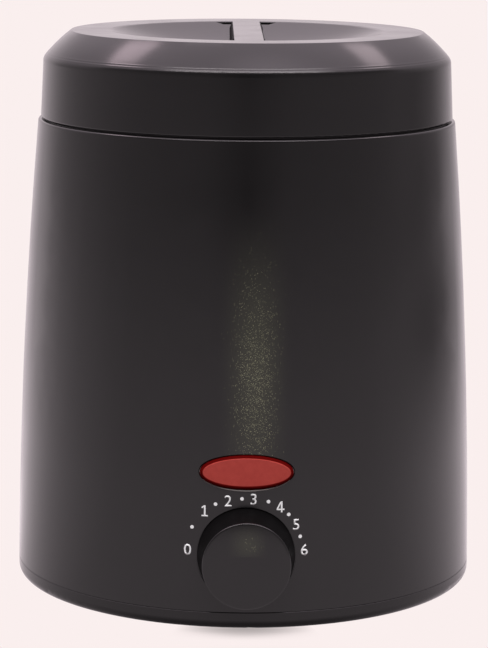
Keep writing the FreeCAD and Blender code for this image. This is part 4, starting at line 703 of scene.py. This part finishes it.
for face in knob.data.polygons:
    from_axis = face.center - Vector((0.0, 0.0, DIAL_CENTRE_HEIGHT))
    on_skirt = face.normal.dot(from_axis) > 0 and abs(face.normal.y) < SKIRT_FACES_ASIDE
    in_line = abs(from_axis.dot(pointer_across)) < POINTER_HALF_WIDTH and from_axis.dot(pointer_away) > 0
    face.select = on_skirt and in_line and face.center.y < KNOB_FRONT + KNOB_EDGE + POINTER_LENGTH
bpy.ops.object.mode_set(mode="EDIT")
bpy.ops.mesh.extrude_region_move(TRANSFORM_OT_translate={"value": pointer_away * -POINTER_DEPTH})
bpy.ops.object.mode_set(mode="OBJECT")
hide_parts("control_knob")
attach(knob, "knob")
pick(knob)
bpy.ops.object.shade_smooth_by_angle(angle=KNOB_SMOOTH_BELOW)
# The flake group's streak is moved up to the knob face's upper half as a painted highlight: a greenish sheen
# and a few flakes.
knob_plastic = new_finish("knob_plastic", flake_tree, {
    "Smooth": 0.18, "Satin": 0.24, "Flake Share": 0.06, "Haze Share": 0.80, "Flow Line": 0.0003,
    "Flow Width": 0.0070, "Flow Bottom": 0.0285, "Flow Middle": 0.0322, "Flow Top": 0.0395,
}, **SKIN_RELIEF)
# A darker plastic with almost no gloss: painted shade for the knob's shadowed skirt and for the bar's
# shadowed sides.
painted_shade_plastic = new_finish("painted_shade_plastic", skin_tree, {"Smooth": 0.50, "Satin": 0.58},
                           base_color=(0.0036, 0.0034, 0.0035, 1.0), bump=0.25, depth=0.00003, ior=1.5,
                           specular_ior_level=0.05)
paint(knob, knob_plastic, painted_shade_plastic)
for face in knob.data.polygons:
    if face.center.y > KNOB_FRONT + KNOB_EDGE:
        face.material_index = 1


# Wax pot: the removable can that holds the wax. It is spun from aluminium sheet, is brighter than the well
# and hangs in it by its rim.

pot_aluminium = new_finish("pot_aluminium", spun_tree, {"Rings Per Metre": 1900.0},
                           bump=0.2, depth=0.00004, metallic=1.0)
dress(pot_aluminium, "wax_pot")


# Lid: the lift-off lid with a bevelled shoulder and a dished top with a pinch bar, moulded in the casing's
# plastic. Its spigot drops inside the casing's lip, and two hairline ridges run round the bevel's lower end.

BEVEL_CENTRE = (0.027599, 0.142329)
BEVEL_RADIUS = 0.049046
BEVEL_CORNER_ANGLE = math.radians(38.261)
RIDGE_PLACES = (0.00132, 0.00216)
RIDGE_WIDTH = 0.00075
RIDGE_HEIGHT = 0.000030
RIDGE_LIFT = 0.00001
RIDGE_ROOT = 0.00015
RIDGE_STARTS = 0.00093
RIDGE_ENDS = 0.00256
RIDGE_STEPS = 44
RIDGE_SIDES = 360
MERGE_BELOW = 0.000001

dress(black_plastic, "lid")


def on_bevel(climb, lift):
    """The radius and height of a point on the bevel, by its climb from the corner and its lift."""
    angle = BEVEL_CORNER_ANGLE + climb / BEVEL_RADIUS
    reach = BEVEL_RADIUS + lift
    return BEVEL_CENTRE[0] + reach * math.cos(angle), BEVEL_CENTRE[1] + reach * math.sin(angle)


ridge_stations = [on_bevel(RIDGE_STARTS, -RIDGE_ROOT)]
for step in range(RIDGE_STEPS + 1):
    climb = RIDGE_STARTS + (RIDGE_ENDS - RIDGE_STARTS) * step / RIDGE_STEPS
    lift = RIDGE_LIFT
    for crest in RIDGE_PLACES:
        if abs(climb - crest) < RIDGE_WIDTH / 2:
            lift += RIDGE_HEIGHT / 2 * (1 + math.cos(2 * math.pi * (climb - crest) / RIDGE_WIDTH))
    ridge_stations.append(on_bevel(climb, lift))
ridge_stations += [on_bevel(RIDGE_ENDS, -RIDGE_ROOT), ridge_stations[0]]
bpy.ops.object.select_all(action="DESELECT")
bpy.ops.mesh.primitive_circle_add(vertices=RIDGE_SIDES, radius=ridge_stations[0][0],
                                  location=(0.0, 0.0, ridge_stations[0][1]))
ridges = bpy.context.object
ridges.name = "lid_ridges"
settle(ridges)
bpy.ops.object.mode_set(mode="EDIT")
bpy.ops.mesh.select_all(action="SELECT")
ring_through(ridge_stations, Vector((0.0, 0.0, 0.0)), Vector((0.0, 0.0, 1.0)))
bpy.ops.mesh.select_all(action="SELECT")
bpy.ops.mesh.remove_doubles(threshold=MERGE_BELOW)
bpy.ops.mesh.normals_make_consistent(inside=False)
bpy.ops.object.mode_set(mode="OBJECT")
bpy.ops.object.shade_smooth_by_angle(angle=SMOOTH_BELOW)
paint(ridges, black_plastic)
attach(ridges, "lid")


# Bar shade strips: two narrow dark strips laid on the dish along the pinch bar's sides, as painted shade
# where the bar's foot is in shadow. They are thin sheets in the same darker, almost glossless plastic as the
# knob's skirt.

BAR_TOP = 0.18140
BAR_HALF_WIDTH = 0.00455
SHADE_STRIP_DROP = 0.00012
SHADE_STRIP_HALF_LENGTH = 0.0385
SHADE_STRIP_STEPS = 44
SHADE_STRIP_WIDTH = 0.00075
SHADE_STRIP_HOVER = 0.004
SHADE_STRIP_LIFT = 0.00003
SHADE_STRIP_THICKNESS = 0.0003
SHADE_STRIP_MIDDLE = BAR_TOP + SHADE_STRIP_HOVER / 2

# Each strip is a thin dark sheet wrapped onto the dish beside the bar: painted shade.
for side, name in ((-1, "bar_shade_left"), (1, "bar_shade_right")):
    bpy.ops.object.select_all(action="DESELECT")
    bpy.ops.mesh.primitive_grid_add(x_subdivisions=SHADE_STRIP_STEPS, y_subdivisions=1, size=1.0,
                                    location=(side * (BAR_HALF_WIDTH + SHADE_STRIP_LIFT), 0.0, SHADE_STRIP_MIDDLE),
                                    rotation=(math.pi / 2, 0.0, math.pi / 2))
    shade_strip = bpy.context.object
    shade_strip.name = name
    shade_strip.scale = (2 * SHADE_STRIP_HALF_LENGTH, SHADE_STRIP_HOVER, 1.0)
    settle(shade_strip)
    low = [vertex.index for vertex in shade_strip.data.vertices if vertex.co.z < SHADE_STRIP_MIDDLE]
    high = [vertex.index for vertex in shade_strip.data.vertices if vertex.co.z > SHADE_STRIP_MIDDLE]
    shift_vertices(shade_strip, low, (0.0, 0.0, -SHADE_STRIP_DROP))
    shift_vertices(shade_strip, high, (side * SHADE_STRIP_WIDTH, 0.0, 0.0))
    on_dish = shade_strip.vertex_groups.new(name="on_dish")
    on_dish.add(high, 1.0, "REPLACE")
    finish_with(shade_strip, "SHRINKWRAP", target=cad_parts["lid"], wrap_method="PROJECT", use_project_z=True,
                use_negative_direction=True, use_positive_direction=False, vertex_group="on_dish")
    finish_with(shade_strip, "SOLIDIFY", thickness=SHADE_STRIP_THICKNESS, offset=-side)
    paint(shade_strip, painted_shade_plastic)
    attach(shade_strip, "lid")


# Studio: a pale table that runs out of sight. What the camera sees of it is an even pale pink with the
# object's soft shadow in front, and what the glossy plastic sees of it dims with the distance and carries a
# painted contact shadow just in front of the base.

PALE_PINK = (0.956, 0.863, 0.855, 1.0)
TABLE_SIDE = 16.0
TABLE_WHITE = (0.56, 0.51, 0.505, 1.0)
TABLE_BOUNCE = (0.24, 0.22, 0.22, 1.0)
SHADOW_FULL = 0.067
SHADOW_GONE = 0.081
SHADOW_SHARE = 0.54
SHADOW_FRONT = (-1.0, -0.95)
CONTACT_SHADE_FULL = 0.072
CONTACT_SHADE_GONE = 0.089
CONTACT_SHADE_LEVEL = 0.22
CONTACT_SHADE_FRONT = (-0.95, -0.50)
STUDIO_TINT = (1.0, 0.88, 0.93)
DIM_PATCH = (0.79, 0.32, 0.0)
DIM_PATCH_RADIUS = 0.62
DIM_PATCH_LEVEL = 0.42
FLOOR_NEAR = 0.30
FLOOR_FAR = 2.4
FLOOR_EASE = 0.55
FLOOR_NEAR_LEVELS = ((-180, 0.92), (-150, 1.16), (-135, 1.34), (-118, 1.24), (-95, 1.02), (-60, 0.79),
                     (0, 0.80), (60, 0.81), (95, 0.98), (118, 1.08), (140, 1.16), (180, 0.92))
FLOOR_FAR_LEVELS = ((-180, 0.92), (-140, 0.90), (-120, 0.67), (-95, 0.57), (-60, 0.46), (0, 0.50), (60, 0.45),
                    (88, 0.42), (104, 0.30), (122, 0.36), (140, 0.66), (180, 0.92))


def bearing_of(tree, place):
    """The bearing of a place or direction seen from the axis: 0 behind left round to 1 behind right."""
    parts = add_node(tree, "SeparateXYZ", {"Vector": place})
    towards_front = calculate(tree, "MULTIPLY", parts.outputs["Y"], -1.0)
    angle = calculate(tree, "ARCTAN2", parts.outputs["X"], towards_front)
    return calculate(tree, "MULTIPLY_ADD", angle, 0.5 / math.pi, 0.5)


def levels_by_bearing(tree, bearing, levels):
    """The tinted light level from stops of (degrees from the front, level)."""
    made = add_node(tree, "ValToRGB", {"Fac": bearing})
    stops = made.color_ramp.elements
    stops[0].position = 0.0
    stops[1].position = 1.0
    for index, (degrees, height) in enumerate(levels):
        place = 0.5 + degrees / 360
        stop = stops[0] if index == 0 else stops[-1] if index == len(levels) - 1 else stops.new(place)
        stop.color = (height * STUDIO_TINT[0], height * STUDIO_TINT[1], height * STUDIO_TINT[2], 1.0)
    return made.outputs["Color"]


bpy.ops.object.select_all(action="DESELECT")
bpy.ops.mesh.primitive_plane_add(size=TABLE_SIDE)
table = bpy.context.object
table.name = "table"
table_paint = bpy.data.materials.new("table_paint")
table_paint.use_nodes = True
tree = table_paint.node_tree
tree.nodes.clear()
seen = add_node(tree, "LightPath", {})
spot = add_node(tree, "TexCoord", {}).outputs["Object"]
away = add_node(tree, "VectorMath", {0: spot}, operation="LENGTH").outputs["Value"]
heading = add_node(tree, "SeparateXYZ", {"Vector": add_node(tree, "VectorMath", {0: spot},
                                                            operation="NORMALIZE").outputs[0]})
in_front = add_node(tree, "MapRange", {"Value": heading.outputs["Y"], "From Min": SHADOW_FRONT[0],
                                       "From Max": SHADOW_FRONT[1], "To Min": 1.0, "To Max": 0.0})
shadow = add_node(tree, "MapRange", {"Value": away, "From Min": SHADOW_FULL, "From Max": SHADOW_GONE,
                                     "To Min": SHADOW_SHARE, "To Max": 0.0}, interpolation_type="SMOOTHSTEP")
shaded = calculate(tree, "MULTIPLY", shadow.outputs["Result"], in_front.outputs["Result"])
lit = add_node(tree, "BsdfDiffuse", {"Color": TABLE_WHITE})
glow = add_node(tree, "Emission", {"Color": PALE_PINK, "Strength": 1.0})
near = add_node(tree, "MixShader", {0: shaded, 1: glow.outputs[0], 2: lit.outputs[0]})
distance = add_node(tree, "MapRange", {"Value": away, "From Min": FLOOR_NEAR, "From Max": FLOOR_FAR})
bearing = bearing_of(tree, spot)
level = blended(tree, calculate(tree, "POWER", distance.outputs["Result"], FLOOR_EASE),
                levels_by_bearing(tree, bearing, FLOOR_NEAR_LEVELS),
                levels_by_bearing(tree, bearing, FLOOR_FAR_LEVELS))
# A painted contact shadow: the floor's glow in reflections is cut close in front of the base.
broad_front = add_node(tree, "MapRange", {"Value": heading.outputs["Y"], "From Min": CONTACT_SHADE_FRONT[0],
                                          "From Max": CONTACT_SHADE_FRONT[1], "To Min": 1.0, "To Max": 0.0})
contact_shade = add_node(tree, "MapRange", {"Value": away, "From Min": CONTACT_SHADE_FULL, "From Max": CONTACT_SHADE_GONE,
                                      "To Min": 1.0 - CONTACT_SHADE_LEVEL, "To Max": 0.0},
                   interpolation_type="SMOOTHSTEP")
painted_contact_shade = calculate(tree, "MULTIPLY", contact_shade.outputs["Result"], broad_front.outputs["Result"])
from_patch = add_node(tree, "VectorMath", {0: spot, 1: DIM_PATCH}, operation="DISTANCE").outputs["Value"]
patch = add_node(tree, "MapRange", {"Value": from_patch, "From Max": DIM_PATCH_RADIUS,
                                    "To Min": DIM_PATCH_LEVEL}, interpolation_type="SMOOTHSTEP")
strength = calculate(tree, "MULTIPLY", calculate(tree, "SUBTRACT", 1.0, painted_contact_shade), patch.outputs["Result"])
mirrored = add_node(tree, "Emission", {"Color": level, "Strength": strength})
shown = add_node(tree, "MixShader", {0: seen.outputs["Is Glossy Ray"], 1: near.outputs[0],
                                     2: mirrored.outputs[0]})
pale_seen = calculate(tree, "MAXIMUM", seen.outputs["Is Camera Ray"],
                      calculate(tree, "MAXIMUM", seen.outputs["Is Glossy Ray"],
                                seen.outputs["Is Transmission Ray"]))
bounced = add_node(tree, "BsdfDiffuse", {"Color": TABLE_BOUNCE})
whole = add_node(tree, "MixShader", {0: pale_seen, 1: bounced.outputs[0], 2: shown.outputs[0]})
feed(tree, add_node(tree, "OutputMaterial", {}).inputs["Surface"], whole.outputs[0])
table_paint.cycles.emission_sampling = "NONE"
table.data.materials.append(table_paint)


# Room: a dim room in front, darkest at the camera, with paler walls at the sides and behind that dim
# upwards. A bright ceiling ends above the camera in a row of lights.

WALL_LEVELS = ((-180, 0.95), (-155, 0.96), (-142, 0.86), (-131, 0.58), (-118, 0.52), (-95, 0.50),
               (-67, 0.37), (-43, 0.29), (-22, 0.25), (0, 0.03), (22, 0.25), (45, 0.31), (70, 0.37),
               (92, 0.46), (108, 0.45), (131, 0.58), (150, 0.66), (180, 0.95))
CEILING_STARTS = 0.10
CEILING_FULL = 0.88
CEILING = (2.00, 1.71, 1.90, 1.0)
CEILING_POWER = 1.5
CEILING_SLANT = (0.0, 0.4793, 1.3244)
CEILING_EDGE = (0.84, 0.90)
CEILING_BEHIND = (0.0, 0.3)
CEILING_BRIGHTEST = (0.14, -0.30, 0.94)
BRIGHTER_REACH = 0.45
BRIGHTER_LEVEL = 1.5
WALLS_DIM_FROM = 0.18
WALLS_DIM_TO = 0.5
WALLS_DIM_LEVEL = 0.55
LIGHT_ROW = (8.2, 7.5, 7.8, 1.0)
LIGHT_ROW_LOWER = (0.89, 0.93)
LIGHT_ROW_UPPER = (1.02, 1.06)
LIGHT_ROW_HALF = (0.40, 0.60)

world = bpy.data.worlds.new("room")
bpy.context.scene.world = world
world.use_nodes = True
tree = world.node_tree
tree.nodes.clear()
outward = add_node(tree, "TexCoord", {}).outputs["Generated"]
walls = levels_by_bearing(tree, bearing_of(tree, outward), WALL_LEVELS)
towards = add_node(tree, "SeparateXYZ", {"Vector": outward})
rise = add_node(tree, "MapRange", {"Value": towards.outputs["Z"], "From Min": CEILING_STARTS,
                                   "From Max": CEILING_FULL})
slant = add_node(tree, "VectorMath", {0: outward, 1: CEILING_SLANT}, operation="DOT_PRODUCT").outputs["Value"]


def fade(value, limits, start, end):
    """A smooth change from one level to another between two limits of a value in the room's tree."""
    made = add_node(tree, "MapRange", {"Value": value, "From Min": limits[0], "From Max": limits[1],
                                       "To Min": start, "To Max": end}, interpolation_type="SMOOTHSTEP")
    return made.outputs["Result"]


overhead = calculate(tree, "MAXIMUM", fade(slant, CEILING_EDGE, 0.0, 1.0),
                     fade(towards.outputs["Y"], CEILING_BEHIND, 0.0, 1.0))
height = calculate(tree, "MULTIPLY", calculate(tree, "POWER", rise.outputs["Result"], CEILING_POWER),
                   overhead)
from_brightest = add_node(tree, "VectorMath", {0: outward, 1: CEILING_BRIGHTEST}, operation="DISTANCE")
brighter = fade(from_brightest.outputs["Value"], (0.0, BRIGHTER_REACH), BRIGHTER_LEVEL, 1.0)
ceiling = add_node(tree, "VectorMath", {0: CEILING[:3], "Scale": brighter}, operation="SCALE").outputs[0]
upper_walls = fade(towards.outputs["Z"], (WALLS_DIM_FROM, WALLS_DIM_TO), 1.0, WALLS_DIM_LEVEL)
dim_walls = add_node(tree, "VectorMath", {0: walls, "Scale": upper_walls}, operation="SCALE").outputs[0]
row = calculate(tree, "MULTIPLY", fade(slant, LIGHT_ROW_LOWER, 0.0, 1.0),
                fade(slant, LIGHT_ROW_UPPER, 1.0, 0.0))
row_length = fade(calculate(tree, "ABSOLUTE", towards.outputs["X"]), LIGHT_ROW_HALF, 1.0, 0.0)
in_row = calculate(tree, "MULTIPLY", calculate(tree, "MULTIPLY", row, row_length),
                   calculate(tree, "LESS_THAN", towards.outputs["Y"], 0.0))
room = blended(tree, in_row, blended(tree, height, dim_walls, ceiling), LIGHT_ROW)
seen = add_node(tree, "LightPath", {})
backdrop = blended(tree, seen.outputs["Is Camera Ray"], room, PALE_PINK)
feed(tree, add_node(tree, "OutputWorld", {}).inputs["Surface"],
     add_node(tree, "Background", {"Color": backdrop, "Strength": 1.0}).outputs[0])


# Lamps: two softboxes high at the sides, whose reflections are the two bright patches on the lid's bevel.
# A wide one above the camera lights the front and isn't mirrored.

SIDE_ROLL = math.radians(21.7)


def softbox(name, place, aim, width, length, radiance, colour, roll=0.0):
    """A rectangular lamp at a place, turned towards its aim and rolled, with one radiance over its face."""
    bpy.ops.object.select_all(action="DESELECT")
    bpy.ops.object.light_add(type="AREA", location=place)
    lamp = bpy.context.object
    lamp.name = name
    lamp.data.shape = "RECTANGLE"
    lamp.data.size = width
    lamp.data.size_y = length
    lamp.data.energy = radiance * math.pi * width * length
    lamp.data.color = colour
    turn = (Vector(aim) - Vector(place)).to_track_quat("-Z", "Y") @ Quaternion((0.0, 0.0, 1.0), roll)
    lamp.rotation_euler = turn.to_euler()
    lamp.visible_camera = False
    return lamp


softbox("left_softbox", place=(-0.97, 0.539, 1.60), aim=(-0.04, -0.05, 0.177), width=0.50, length=0.40,
        radiance=4.4, colour=(1.0, 0.78, 0.86), roll=-SIDE_ROLL)
softbox("right_softbox", place=(1.03, 0.56, 1.56), aim=(0.04, -0.05, 0.177), width=0.50, length=0.36,
        radiance=3.3, colour=(1.0, 0.82, 0.87), roll=SIDE_ROLL)
front_softbox = softbox("front_softbox", place=(0.0, -1.15, 1.35), aim=(0.0, 0.0, 0.10), width=1.5,
                        length=0.32, radiance=11.5, colour=(1.0, 0.97, 0.98))
front_softbox.visible_glossy = False


# Camera: in front of the object and a little above its lid, on a long lens. It is turned and rolled as the
# photograph was taken.

CAMERA_DISTANCE = 0.86552
CAMERA_HEIGHT = 0.24149
CAMERA_PITCH = 0.1797
CAMERA_BEARING = -0.0125
CAMERA_ROLL = 0.0085
CAMERA_LENS = 147.6
CAMERA_SHIFT = (-0.0016, 0.0012)
CAMERA_SENSOR = 36.0
CAMERA_SEES_TO = 60.0

sin_b, cos_b = math.sin(CAMERA_BEARING), math.cos(CAMERA_BEARING)
forward = Vector((-sin_b * math.cos(CAMERA_PITCH), cos_b * math.cos(CAMERA_PITCH), -math.sin(CAMERA_PITCH)))
right = Vector((cos_b, sin_b, 0.0))
up = right.cross(forward)
rolled_right = math.cos(CAMERA_ROLL) * right + math.sin(CAMERA_ROLL) * up
rolled_up = -math.sin(CAMERA_ROLL) * right + math.cos(CAMERA_ROLL) * up
bpy.ops.object.select_all(action="DESELECT")
bpy.ops.object.camera_add()
camera = bpy.context.object
camera.data.lens = CAMERA_LENS
camera.data.sensor_width = CAMERA_SENSOR
camera.data.clip_end = CAMERA_SEES_TO
camera.data.shift_x = CAMERA_SHIFT[0]
camera.data.shift_y = CAMERA_SHIFT[1]
turned = Matrix((rolled_right, rolled_up, -forward)).transposed().to_4x4()
camera.matrix_world = Matrix.Translation((CAMERA_DISTANCE * sin_b, -CAMERA_DISTANCE * cos_b,
                                          CAMERA_HEIGHT)) @ turned
bpy.context.scene.camera = camera
bpy.context.scene.view_settings.view_transform = "Standard"
